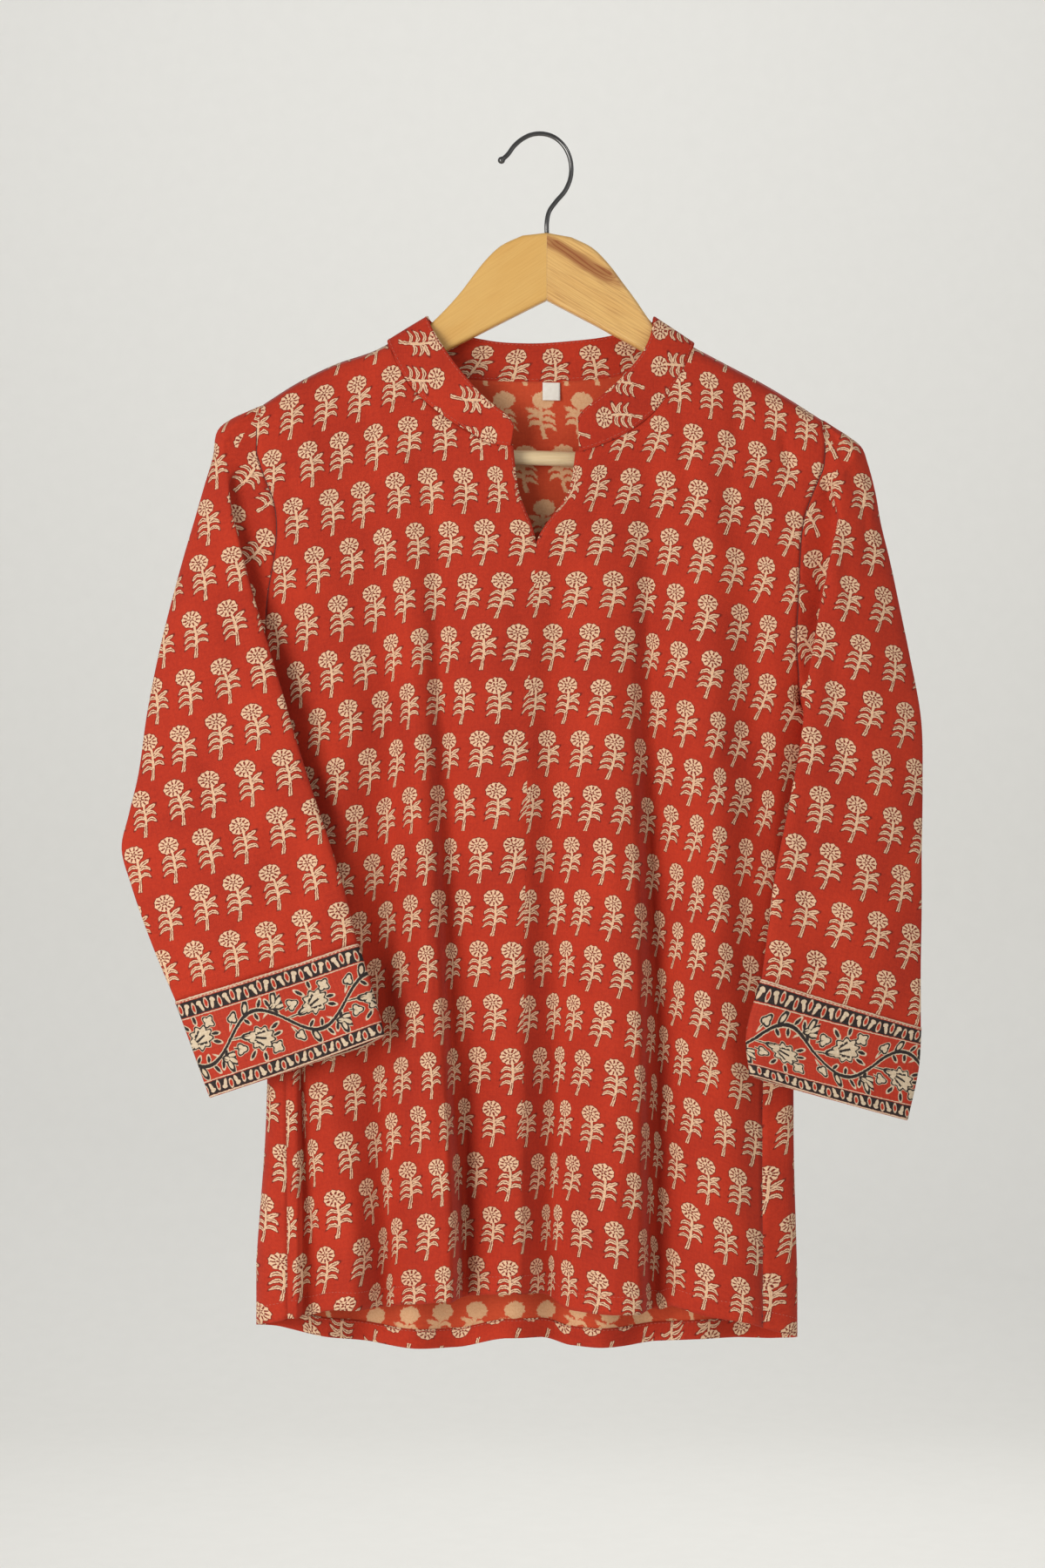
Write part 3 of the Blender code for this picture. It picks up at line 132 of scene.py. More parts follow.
#   across, droop, then x and forward at each of the levels above. The first and
#   last rows are the side seams, which lie at the front, so the back wraps round.
backHang = (
    (-249, 36.3, -232, -9, -192.5, -0.6, -175.6, 15, -173.8, 22),
    (-241, 35, -225.5, -9, -192, -3, -182, 13.5, -182.5, 20),
    (-233, 33.5, -218.5, -9, -190, -5, -187.5, 8, -192, 14),
    (-225.5, 32, -212, -9, -186.5, -6.5, -189.5, 1, -196.5, 4),
    (-215, 29, -203, -9, -179.5, -8, -187.5, -7, -195.5, -6),
    (-194, 24, -184, -9, -164, -10, -175, -15, -181.5, -15),
    (-157, 15.5, -150.5, -9, -135, -8, -145.5, -8, -150.5, -6),
    (-120.5, 7.5, -118, -9, -104.5, -13, -117, -18, -119.5, -20),
    (-84, 1.5, -84.5, -9, -74, -8, -86, -8, -87.5, -6),
    (-47, 0.5, -48.5, -9, -41.5, -12, -55, -17, -54, -19),
    (-10.5, 0, -12, -9, -7, -8, -20.5, -9, -19, -7),
    (26, 0, 25, -9, 25, -12, 13, -18, 13, -20),
    (63, 1.5, 62, -9, 55.5, -8, 45, -8, 43.5, -6),
    (99.5, 7.5, 98.5, -9, 84, -13, 75.5, -17, 76, -20),
    (136, 16.5, 133.5, -9, 112, -8, 107.5, -8, 107, -6),
    (173, 27, 169.5, -9, 139.5, -12, 140.5, -16, 141, -18),
    (204.5, 36.5, 199, -9, 163, -10, 164, -13, 165, -14),
    (220, 41.5, 214, -9, 174.5, -7, 173, -7, 175.5, -6),
    (230.5, 45, 223.5, -9, 180, -4, 176, 0, 178.5, 2),
    (241, 48.5, 233, -9, 183.5, -2, 170, 6, 171.5, 11),
    (255, 52.6, 247, -9, 185, -0.6, 154.2, 9.5, 153.8, 17),
)

#   x, z along each seam or edge, from the wearer's right to the left
shoulderRight = ((-193, -187.2), (-168.8, -171.8), (-144, -159.4), (-110.1, -147), (-105.3, -144.3))
shoulderLeft = ((106.5, -146.7), (130.7, -159.4), (153.7, -171.5), (174.2, -183.6), (195, -196.9))
armholeEndRight = (-191.4, -392.5)
armholeEndLeft = (180.6, -394.3)
neckRight = (
    (-105.3, -144.3), (-101.3, -153.9), (-95.2, -165.5), (-88, -176.4), (-78.3, -185.6),
    (-67.4, -194.1), (-53.9, -203.3), (-37, -212.8), (-27.1, -215.2), (-20, -215.8),
)
neckLeft = (
    (26.6, -219.7), (33.6, -218.2), (42, -215.5), (52.8, -209.9), (63.7, -204.2),
    (76.3, -194.1), (86, -182.9), (95.7, -168.6), (102.4, -156.3), (106.5, -146.7),
)
neckBack = (
    (-105.3, -144.3), (-98.3, -148.7), (-82, -158.2), (-63.7, -164.8), (-44.9, -167.9), (-24.3, -168.8),
    (0.1, -169.1), (31.6, -167.9), (49.9, -166.1), (69.9, -161.2), (88.1, -154.1), (100.2, -148.7),
    (106.5, -146.7),
)
#   across, z
hemFront = (
    (-249, -816.6), (-231, -817), (-199, -811.3), (-145, -812.5), (-92, -804.2), (-55, -806.2),
    (-28, -802.3), (-3.9, -800.6), (38, -805.5), (71, -813.9), (104, -812.9), (131, -813.3),
    (166, -814.6), (183, -810.5), (209.5, -814.9), (244, -820.1), (255, -822.9),
)
hemBack = (
    (-249, -818), (-233, -822.2), (-225.5, -824.5), (-199, -828.2), (-155, -834.8), (-102, -842),
    (-52, -844), (-13, -836), (10.5, -836.5), (37, -842.5), (80, -842.2), (107, -839.7),
    (140, -836.5), (194, -837.3), (230.5, -833.4), (241, -829.8), (255, -825.7),
)

# Sections round a sleeve. The outer fold, the inner fold and the foot under it are
# x, z, forward; the seam is where the section starts and ends. The first eleven
# sections are open, and their seam lies on the armhole. The rest are closed, and
# their seam lies behind the inner fold.
#   outer fold          inner fold            foot                  seam              front, back layer
sleeveRight = (
    (-195.4, -188.1, 0, -194.1, -190.2, 4.5, -193.5, -192.3, 6.5, -193.3, -195.4, 7.5, 4, -5.5),
    (-203.9, -191.8, 0, -200.2, -196.5, 7, -198.5, -199.5, 7.8, -195.8, -201.5, 7.8, 7.5, -8.5),
    (-214.2, -196.6, 0, -207.9, -204, 8.5, -202.5, -207.5, 8.3, -196.1, -210.5, 8, 9, -9.5),
    (-223.5, -204.2, 0, -215.1, -213.7, 9.5, -206.7, -217.2, 8.8, -196.1, -219.6, 8, 10, -10),
    (-226.9, -222.9, 0, -216.1, -230.1, 11, -207.9, -229.3, 8.6, -193.9, -228, 8, 11, -10),
    (-233.5, -245.3, 0, -215.1, -245.6, 15, -215.2, -242.5, 8.6, -190.2, -238.8, 8, 13, -10),
    (-240.1, -268.4, 1, -212.5, -263.8, 17, -214.6, -260.6, 8.5, -184.2, -254.5, 8, 15, -10),
    (-247.2, -292.6, 2, -207.6, -282.5, 19, -211, -278.6, 8, -182.1, -271.4, 7.5, 17, -10),
    (-255.5, -324.2, 4, -201.4, -307.2, 21, -205.6, -302.1, 7.5, -183.8, -293, 7, 20, -9),
    (-263.1, -356.3, 6, -192.7, -335.6, 24, -199, -329.2, 7, -188.3, -318.2, 5, 23, -7),
    (-271.3, -398.6, 8, -181.1, -372.8, 27, -190.5, -363.6, 10, -191.4, -353.2, 3.5, 27, -3),
    (-278.2, -446.8, 10, -168.4, -415.8, 30, -180.5, -408.7, 15, -196, -398.5, 2.5, 30, 2),
    (-284, -471, 11, -162.5, -435, 31, -172, -434, 18, -187, -425, 9.5, 31, 4),
    (-288.8, -494.9, 12, -156.3, -454, 32, -163.1, -458.8, 20, -173.8, -464.8, 13, 32, 7),
    (-282.1, -519.5, 13, -147.3, -480.8, 33, -152.7, -485.7, 23, -162.2, -490.6, 16, 33, 10),
    (-265.6, -565.1, 15, -133.5, -524.8, 34, -138.2, -529.3, 25, -147, -534.9, 19.5, 34, 15),
    (-251.1, -599.3, 16, -125.2, -559.3, 34, -129.8, -562.7, 26, -137.9, -566, 21, 34, 18),
)
cuffRight = (
    sleeveRight[-1],
    (-239, -632.3, 16.5, -115, -590.8, 35, -119.6, -593.8, 26.5, -128.3, -597.7, 21.5, 35, 19.5),
    (-227, -665.9, 17, -106.7, -622.3, 36, -111.2, -625.4, 27, -119.9, -630, 22, 36, 21),
)
sleeveLeft = (
    (197.8, -198.1, 0, 196.5, -200.5, 4.5, 195.8, -202.5, 6.5, 195.6, -205.6, 7.5, 4, -5.5),
    (205.7, -203.3, 0, 202.6, -208, 7, 199.5, -210.5, 7.8, 196.8, -212.3, 7.8, 7.5, -8.5),
    (214.2, -208.7, 0, 209.6, -216, 8.5, 203.6, -219, 8.3, 197.1, -221.4, 8, 9, -9.5),
    (222.6, -215.4, 0, 213.8, -225.1, 9.5, 206, -228.1, 9, 196.2, -230.4, 8, 10, -10),
    (227.5, -227.2, 0, 203.3, -240.5, 12, 199.8, -240.1, 8.8, 193.2, -238.2, 8, 11, -10),
    (232.9, -247.7, 0, 204.8, -255.2, 15, 203, -252.2, 8.6, 188.8, -248.5, 8, 13, -10),
    (236.4, -268.4, 1, 207, -265, 17, 205, -261.8, 8.5, 184.5, -259.9, 8, 15, -10),
    (242.4, -293.9, 2, 202.5, -283.1, 19, 204.7, -278.6, 8, 181.4, -272.6, 7.5, 17, -10),
    (248.8, -325.4, 4, 197, -309, 21, 199.5, -303.9, 7.5, 179.6, -294.2, 7, 20, -9),
    (255.8, -360.5, 6, 190.7, -340.9, 24, 195.3, -334, 7, 178.5, -321.8, 5, 23, -7),
    (263.3, -402.8, 8, 183.8, -379.3, 27, 190.4, -371.4, 10, 177.4, -354.4, 3.5, 27, -3),
    (264.3, -449.8, 10, 178.2, -423.6, 30, 184.4, -418.5, 15, 182.4, -400, 2.5, 30, 2),
    (264, -474, 11, 174, -446, 31, 181, -445, 18, 185, -435, 9.5, 31, 4),
    (263.4, -497.9, 12, 169.6, -468.3, 32, 177.2, -472, 21, 185, -476.2, 14, 32, 7),
    (263.3, -537, 13, 160.6, -514.1, 33, 166.7, -518, 24, 175.1, -521.8, 17, 33, 10),
    (262.4, -579, 15, 155.8, -549.8, 34, 161.3, -553.8, 25, 168.9, -557.7, 19.5, 34, 15),
    (262.3, -617.3, 16, 151.6, -583.1, 34, 157, -586, 26, 164.6, -589.4, 21, 34, 18),
)
cuffLeft = (
    sleeveLeft[-1],
    (259.8, -649.1, 16.5, 141.4, -622.4, 35, 147.4, -625.4, 26.5, 155.6, -628.9, 21.5, 35, 19.5),
    (252.6, -681.5, 17, 143.7, -649, 36, 149.2, -652.3, 27, 157.3, -655.2, 22, 36, 21),
)

# The collar band, from its right front end round the neck to its left front end.
#   seam edge x, z, forward; free edge x, z, forward
collar = (
    (-19.9, -215.9, 15.5, -17.8, -203.3, 18),
    (-27.1, -215.3, 15.5, -21.7, -196.4, 18),
    (-37, -212.9, 15, -28.3, -191.3, 18),
    (-48.2, -206.1, 14, -36.1, -185.1, 17),
    (-59.6, -199.7, 13.5, -44.5, -176.6, 16),
    (-70.4, -191.8, 12.5, -52.3, -167.5, 15),
    (-80.7, -183.2, 11.5, -59.6, -158.3, 14),
    (-90.3, -172.3, 11, -66.2, -148.6, 13),
    (-98.2, -159, 10, -72.3, -138.7, 11.5),
    (-103.4, -148.4, 7.5, -76, -131.6, 8),
    (-104.9, -144, 5.3, -77.1, -127, 5.8),
    (-105.3, -142.2, 0, -77.4, -125.2, 0),
    (-104.8, -143, -5.3, -77, -126, -5.8),
    (-103.2, -145, -7.5, -75.3, -127.9, -8),
    (-95.9, -149.7, -9, -68.6, -131.3, -10),
    (-82, -158.1, -9.5, -57.7, -135.4, -11),
    (-63.8, -164.8, -9.5, -44.9, -138.4, -11.5),
    (-44.9, -167.8, -9.5, -29.1, -141, -12),
    (-24.3, -168.7, -9.5, -13.9, -141.9, -12),
    (0.1, -169, -9.5, 1.3, -141.9, -12),
    (25.6, -168.1, -9.5, 21.4, -140.4, -12),
    (49.9, -166, -9.5, 42.7, -138, -12),
    (69.9, -161.1, -9.5, 58.4, -134.8, -11),
    (88.2, -153.8, -9.5, 70, -131.9, -10),
    (100.3, -149.1, -9, 76, -129.5, -9.5),
    (105.1, -146.8, -7.5, 78.4, -127.9, -8),
    (106.2, -144.8, -5.2, 78.6, -126.2, -5.8),
    (106.5, -144, 0, 78.7, -125.5, 0),
    (105.9, -146.2, 5.3, 78.4, -127.8, 5.8),
    (104.3, -151.4, 7.5, 77.7, -133.4, 8),
    (100.5, -161.4, 10, 75.1, -142.9, 11.5),
    (94.4, -171.1, 11, 70.3, -152.2, 13),
    (87.2, -180.9, 12, 63.6, -161.3, 14),
    (79.3, -191.2, 12.5, 55.8, -169.9, 15),
    (69.1, -200.3, 13.5, 47.9, -177.2, 16),
    (58.2, -207.6, 14, 40.7, -183.3, 17),
    (46.2, -213.4, 15, 34.1, -188.3, 18),
    (35.9, -217.4, 15.5, 29.3, -192.5, 18),
    (26.9, -219.8, 15.5, 26, -197.3, 18),
)

#   x, z round each half of the hanger, from the top of the mitre out and back
hangerRight = (
    (-12.1, -69.3), (-27.2, -76.5), (-38.1, -86.8), (-45.4, -95.9), (-54.5, -108), (-63.5, -118.3),
    (-72.6, -127.5), (-90.7, -143.5), (-105.3, -152.5), (-144, -164.6), (-168.8, -176), (-193, -191.4),
    (-204.5, -199.5), (-212.5, -205.5), (-216, -211), (-216.8, -220.5), (-213.5, -231), (-206, -238.3),
    (-190.6, -241.3), (-173.6, -237.7), (-166, -230.5), (-165.4, -213), (-160, -208.5), (-133.1, -190.3),
    (-96.8, -166.7), (-63.5, -148.5), (-30.2, -131.6),
)
hangerLeft = (
    (21.8, -70.5), (36.3, -77.7), (48.4, -89.8), (57.5, -101.9), (66.5, -114), (75, -126.5),
    (88.7, -142.5), (106.5, -154.5), (130.7, -164.8), (153.7, -175.7), (174.2, -187.8), (195.4, -201.5),
    (206.5, -209.5), (214.5, -215.5), (218, -221.5), (218.6, -230.5), (215.5, -240.1), (208, -247.3),
    (193.6, -249.8), (176.1, -246.1), (168.6, -239.5), (168, -221.5), (162.7, -217.5), (136.1, -198.7),
    (102.9, -170.3), (72.6, -150.3), (38.7, -131.6),
)
mitreTop, mitreBottom = -67.4, -114.0

#   x, z along the middle of the hook's wire, from its tip to the wood
hook = (
    (-27.6, -17.4), (-26, -16), (-22.4, -12.7), (-18.1, -6.9), (-12.1, -1.8), (-6, 1.1), (0, 1.9),
    (9.1, -0.2), (16.9, -6.9), (21.2, -16.6), (21.5, -27.5), (17.5, -37.8), (10.9, -45.7), (6.4, -52.3),
    (4.8, -60.2), (4.8, -66.9),
)


def smooth(places, values, at):
    # a curve through the places that keeps each crown and valley, one for each entry of "at"
    at = np.atleast_1d(np.asarray(at, float))
    size = (len(places), len(at))
    places, values = (np.broadcast_to(np.asarray(part, float).reshape(len(part), -1), size)
                      for part in (places, values))
    step = np.diff(places, axis=0)
    rise = np.diff(values, axis=0) / step
    level = rise[:-1] * rise[1:] <= 0
    safe = np.where(rise == 0, 1.0, rise)
    weighed = (2 * step[1:] + step[:-1]) / safe[:-1] + (step[1:] + 2 * step[:-1]) / safe[1:]
    inner = np.where(level, 0.0, 3 * (step[:-1] + step[1:]) / np.where(weighed == 0, 1.0, weighed))
    slope = np.concatenate([rise[:1], inner, rise[-1:]])
    at = np.clip(at, places[0], places[-1])
    span = (at >= places[1:-1]).sum(axis=0)
    column = np.arange(len(at))
    width = step[span, column]
    part = (at - places[span, column]) / width
    start, end = values[span, column], values[span + 1, column]
    return curveBetween(start, end, slope[span, column] * width, slope[span + 1, column] * width, part)


def curveBetween(start, end, leaving, arriving, part):
    turn = 3 * (end - start) - 2 * leaving - arriving
    return start + part * leaving + part**2 * turn + part**3 * (2 * (start - end) + leaving + arriving)


def runLengths(points, axis=0):
    # the length so far along a line of points, or along each line of a grid
    steps = np.linalg.norm(np.diff(points, axis=axis), axis=-1)
    return np.insert(np.cumsum(steps, axis=axis), 0, 0.0, axis=axis)


def readOff(at, places, table):
    # every column of a table, read off at new places
    return np.stack([np.interp(at, places, column) for column in table.T], axis=-1)


def along(points, at):
    # points at the shares "at" of a line's length
    points = np.asarray(points, float)
    length = runLengths(points)
    return readOff(np.asarray(at, float) * length[-1], length, points)


def through(points, counts, closed=False):
    # a curve through the points, with a number of steps between each two
    points = np.asarray(points, float)
    first, last = 2 * points[:1] - points[1:2], 2 * points[-1:] - points[-2:-1]
    ends = (points[-2:-1], points[1:2]) if closed else (first, last)
    guide = np.concatenate([ends[0], points, ends[1]])
    gap = np.maximum(np.linalg.norm(np.diff(guide, axis=0), axis=1), 1e-6)[:, None]
    slope = np.diff(guide, axis=0) / gap
    tangent = (slope[:-1] * gap[1:] + slope[1:] * gap[:-1]) / (gap[:-1] + gap[1:])
    made = []
    for i, count in enumerate(counts):
        leaving, arriving = tangent[i] * gap[i + 1], tangent[i + 1] * gap[i + 1]
        part = (np.arange(count) / count)[:, None]
        made.append(curveBetween(points[i], points[i + 1], leaving, arriving, part))
    return np.concatenate(made + ([] if closed else [points[-1:]]))


def evenly(points, steps):
    # the curve through the points, with the same number of steps between each two
    return through(points, [steps] * (len(points) - 1))


def ease(value):
    part = np.clip(value, 0.0, 1.0)
    return part * part * (3 - 2 * part)


def inSpace(places):
    # x, z, forward as points in space
    return np.stack([places[..., 0], -places[..., 2], places[..., 1]], axis=-1)


def shoulderHeight(x):
    line = np.array((*shoulderRight, *underCollar, *shoulderLeft))
    return np.interp(x, line[:, 0], line[:, 1])


def turnedOver(forward, x, z):
    # cloth comes to the middle plane as it turns over the shoulder
    below = np.clip((shoulderHeight(x) - z) / shoulderRound, 0.0, 1.0)
    side = np.where(forward < 0, -seamGap, seamGap)
    return side + (forward - side) * np.sqrt(1.0 - (1.0 - below) ** 2)


class Hang:
    # how a panel hangs: where its lengthwise threads fall, and how far forward they stand
    def flat(self, hung):
        # the flat place of each hung x, z, found by halving
        hung = np.asarray(hung, float)
        low = np.full(len(hung), self.across[0])
        high = np.full(len(hung), self.across[-1])
        for _ in range(halvings):
            middle = (low + high) / 2
            short = self.xAt(middle, hung[:, 1] + self.droop(middle)) < hung[:, 0]
            low = np.where(short, middle, low)
            high = np.where(short, high, middle)
        return np.stack([low, hung[:, 1] + self.droop(low)], axis=1)

    def droop(self, across):
        return smooth(self.across, self.fall, across)

    def hang(self, flat):
        across, down = flat.reshape(-1, 2).T
        x = self.xAt(across, down)
        z = down - self.droop(across)
        forward = turnedOver(self.forwardAt(across, x, down), x, z)
        return np.stack([x, -forward, z], axis=1).reshape(*flat.shape[:-1], 3)


class FrontHang(Hang):
    def __init__(self, warp, fold):
        warp = np.array(warp)
        self.across, self.fall, self.threads, self.folds = warp[:, 0], warp[:, 1], warp[:, 2:].T, fold

    def xAt(self, across, down):
        levels = np.stack([smooth(self.across, column, across) for column in self.threads])
        return smooth(-np.array(warpLevels), levels, -np.atleast_1d(down))

    def forwardAt(self, across, x, down):
        deep, levels = -np.atleast_1d(down), -np.array(foldLevels)
        places, values = (np.stack([smooth(levels, row[start::2], deep) for row in self.folds])
                          for start in (0, 1))
        return smooth(places, values, x)


class BackHang(Hang):
    def __init__(self, table):
        table = np.array(table)
        self.across, self.fall = table[:, 0], table[:, 1]
        self.threads, self.depths = table[:, 2::2].T, table[:, 3::2].T

    def atLevels(self, columns, across, down):
        levels = np.stack([smooth(self.across, column, across) for column in columns])
        return smooth(-np.array(backLevels), levels, -np.atleast_1d(down))

    def xAt(self, across, down):
        return self.atLevels(self.threads, across, down)

    def forwardAt(self, across, x, down):
        return self.atLevels(self.depths, across, down)


frontRight = FrontHang(warpRight, foldRight)
frontLeft = FrontHang(warpLeft, foldLeft)
backPanel = BackHang(backHang)


class Sheet:
    # a grid of cloth: hung points, flat places, and where neighbours share a point
    def __init__(self, points, flat, breaks=(), flip=False):
        self.points, self.flat = np.asarray(points, float), np.asarray(flat, float)
        self.ids = np.arange(self.points[..., 0].size).reshape(self.points.shape[:2])
        self.breaks, self.flip, self.cuts = breaks, flip, ()

    def corners(self):
        rows, columns = self.ids.shape
        kept = [i for i in range(columns - 1) if i not in self.breaks]
        r, c = (part.ravel() for part in np.meshgrid(np.arange(rows - 1), kept, indexing="ij"))
        ring = [(r, c), (r, c + 1), (r + 1, c + 1), (r + 1, c)]
        return ring[::-1] if self.flip else ring

    def faces(self, ids):
        return np.stack([ids[r, c] for r, c in self.corners()], axis=1)

    def normals(self):
        places = self.points.reshape(-1, 3)[self.ids]
        ring = [places[r, c] for r, c in self.corners()]
        facing = np.cross(ring[2] - ring[0], ring[3] - ring[1])
        total = np.zeros((self.ids.size, 3))
        for r, c in self.corners():
            np.add.at(total, self.ids[r, c], facing)
        total = total[self.ids]
        return total / np.maximum(np.linalg.norm(total, axis=2), 1e-9)[:, :, None]

    def printAt(self, ring, flat=None):
        # the flat place of each corner: beside a cut in the print it carries on from the column before
        flat = self.flat if flat is None else flat
        placed = [flat[r, c] for r, c in ring]
        left = np.minimum.reduce([c for _, c in ring])
        for number, (r, c) in enumerate(ring):
            over = np.isin(left, self.cuts) & (c > left)
            placed[number][over] = 2 * flat[r[over], c[over] - 1] - flat[r[over], c[over] - 2]
        return np.stack(placed, axis=1)

    def at(self, r, c):
        # place and normal part of the way between grid points
        r, c = np.clip(r, 0, self.ids.shape[0] - 1.001), np.clip(c, 0, self.ids.shape[1] - 1.001)
        r0, c0 = np.floor(r).astype(int), np.floor(c).astype(int)
        rs, cs = (r - r0)[:, None], (c - c0)[:, None]
        found = []
        for grid in (self.points, self.normals()):
            low, high = (grid[row, c0] * (1 - cs) + grid[row, c0 + 1] * cs for row in (r0, r0 + 1))
            found.append(low * (1 - rs) + high * rs)
        return found


def makeMesh(name, points, faces, finishes, uvs=None, slots=None):
    used, inverse = np.unique(np.asarray(faces), return_inverse=True)
    faces = inverse.reshape(-1, len(faces[0]))
    mesh = bpy.data.meshes.new(name)
    mesh.from_pydata((np.asarray(points)[used] * mm).tolist(), [], faces.tolist())
    if uvs is not None:
        places = (np.asarray(uvs) * mm).astype(np.float32).ravel()
        mesh.uv_layers.new(name="cloth").data.foreach_set("uv", places)
    for finish in finishes:
        mesh.materials.append(finish)
    if slots is not None:
        mesh.polygons.foreach_set("material_index", np.asarray(slots, dtype=np.int32))
    mesh.polygons.foreach_set("use_smooth", [True] * len(mesh.polygons))
    mesh.update()
    return addObject(name, mesh)


def addObject(name, data):
    made = bpy.data.objects.new(name, data)
    bpy.context.scene.collection.objects.link(made)
    return made


def joinPiece(piece, node=None):
    # every piece hangs on the one body, and some stand for a solid
    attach(piece, "root")
    if node:
        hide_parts(node)
    return piece


def addCloth(name, sheet, thickness, finishes, node):
    # a thin shell: the first finish is the outside, the second the side next to the body
    uvs = sheet.printAt(sheet.corners())
    piece = makeMesh(name, sheet.points.reshape(-1, 3), sheet.faces(sheet.ids), finishes, uvs)
    shell = piece.modifiers.new("thickness", "SOLIDIFY")
    shell.thickness = thickness * mm
    shell.offset = 0.0
    shell.material_offset = len(finishes) - 1
    return joinPiece(piece, node)


def addBand(name, sheet, size, distance, finishes, node, insideFlat=None):
    # a doubled band: two layers that meet round its edges, "distance" being how far an edge is
    near = np.clip(distance / size["rounding"], 0, 1)
    high = size["thickness"] / 2 * np.sqrt(1 - (1 - near) ** 2)
    lift = sheet.normals() * high[:, :, None]
    points = np.concatenate([(sheet.points + lift).reshape(-1, 3), (sheet.points - lift).reshape(-1, 3)])
    outside = sheet.faces(sheet.ids)
    inside = sheet.faces(np.where(high > 0, sheet.ids + sheet.ids.size, sheet.ids))[:, ::-1]
    ring = sheet.corners()
    uvs = [sheet.printAt(ring), sheet.printAt(ring[::-1], insideFlat)]
    slots = [0] * len(outside) + [len(finishes) - 1] * len(inside)
    piece = makeMesh(name, points, np.concatenate([outside, inside]), finishes, np.concatenate(uvs),
                     slots)
    return joinPiece(piece, node)


# steps down a sleeve between its sections, and round it between a section's nodes
sleeveGrid = {"down": (3, 4, 4, 5, 6, 6, 7, 9, 9, 12, 13, 7, 7, 7, 13, 10), "open": 78, "seamRow": 65,
              "round": (7, 4, 14, 14, 12, 14, 14, 12), "tip": (0.0, 0.33, 0.66)}
# "hem" is where the columns from the neck's two ends reach the hem, and the back's left one
panelGrid = {"side": 122, "slitSection": 6, "shoulder": 34, "neck": 50, "backShoulder": 32,
             "backNeck": 70, "hem": (-140.0, 125.0, 140.0)}
hemRight, hemLeft, hemBackLeft = panelGrid["hem"]
tipRows = len(sleeveGrid["tip"])
slitRow = tipRows + sum(sleeveGrid["down"][:panelGrid["slitSection"]])


def sleeveSections(table, armholeEnd):
    # the last open seams run straight down to the underarm
    sections = through(np.array(table), sleeveGrid["down"])
    first, last = sleeveGrid["seamRow"], sleeveGrid["open"] - 1
    part = (np.arange(first, last + 1) - first)[:, None] / (last - first)
    start = sections[first, 9:11]
    sections[first:last + 1, 9:11] = start + (np.array(armholeEnd) - start) * part
    return sections


def armholeLine(sections, tip):
    tip, seam = np.array(tip), sections[:sleeveGrid["open"], 9:11]
    return np.array([*(tip + (seam[0] - tip) * share for share in sleeveGrid["tip"]), *seam])


def sideEdge(hang, arm, side, hem):
    edge = hang.flat(arm)
    steps = np.arange(1, panelGrid["side"] + 1) / panelGrid["side"]
    return np.concatenate([edge, along([edge[-1], (side, chest), hem], steps)])


def hemLine(hem, droop, stops, counts):
    hem = np.array(hem)
    steps = [np.linspace(start, end, count, endpoint=False)
             for start, end, count in zip(stops[:-1], stops[1:], counts)]
    across = np.concatenate(steps + [[stops[-1]]])
    return np.stack([across, smooth(hem[:, 0], hem[:, 1], across) + droop(across)], axis=1)


def edgeLine(parts, counts):
    # even steps along the smooth curve through each part's points
    made = [along(evenly(part, 8), np.arange(count) / count) for part, count in zip(parts, counts)]
    return np.concatenate([*made, np.array(parts[-1][-1:])])


def sharesDown(edge):
    return (edge[0, 1] - edge[:, 1]) / (edge[0, 1] - edge[-1, 1])


def flatPatch(first, last, top, hem, shares):
    # rows between two side edges that take the shape of the top edge, then of the hem
    part = ((top[:, 0] - top[0, 0]) / (top[-1, 0] - top[0, 0]))[:, None]
    topBow, hemBow = (line - (line[0] + (line[-1] - line[0]) * part) for line in (top, hem))
    shares = shares[:, None, None]
    straight = first[:, None] + (last - first)[:, None] * part
    return (straight + topBow * (1 - shares) + hemBow * shares)[::-1]


sectionsRight = sleeveSections(sleeveRight, armholeEndRight)
sectionsLeft = sleeveSections(sleeveLeft, armholeEndLeft)
armRight = armholeLine(sectionsRight, shoulderRight[0])
armLeft = armholeLine(sectionsLeft, shoulderLeft[-1])
sideRight, sideLeft = hemFront[0][0], hemFront[-1][0]


def frontHalf(hang, parts, arm, side, stops):
    edges, names = zip(*parts)
    counts = [panelGrid[name] for name in names]
    middle = 0 if side > 0 else -1
    top = hang.flat(edgeLine(edges, counts))
    top[middle, 0] = slitEdge
    hem = hemLine(hemFront, hang.droop, stops, counts)
    edge = sideEdge(hang, arm, side, hem[-1 - middle])
    shares = sharesDown(edge)
    down = np.interp(shares, (0.0, shares[slitRow], 1.0), (top[middle, 1], slitBottom, hem[middle, 1]))
    centre = np.stack([np.full_like(down, slitEdge), down], axis=1)
    flat = flatPatch(*((centre, edge) if side > 0 else (edge, centre)), top, hem, shares)
    return flat, hang.hang(flat)


rightHalf = frontHalf(frontRight, ((shoulderRight, "shoulder"), (neckRight, "neck")), armRight, sideRight,
                      (sideRight, hemRight, slitEdge))
leftHalf = frontHalf(frontLeft, ((neckLeft, "neck"), (shoulderLeft, "shoulder")), armLeft, sideLeft,
                     (slitEdge, hemLeft, sideLeft))
centreColumn = rightHalf[0].shape[1] - 1
frontFlat, frontHung = (np.concatenate(halves, axis=1) for halves in zip(rightHalf, leftHalf))
slitAt = len(frontFlat) - 1 - slitRow

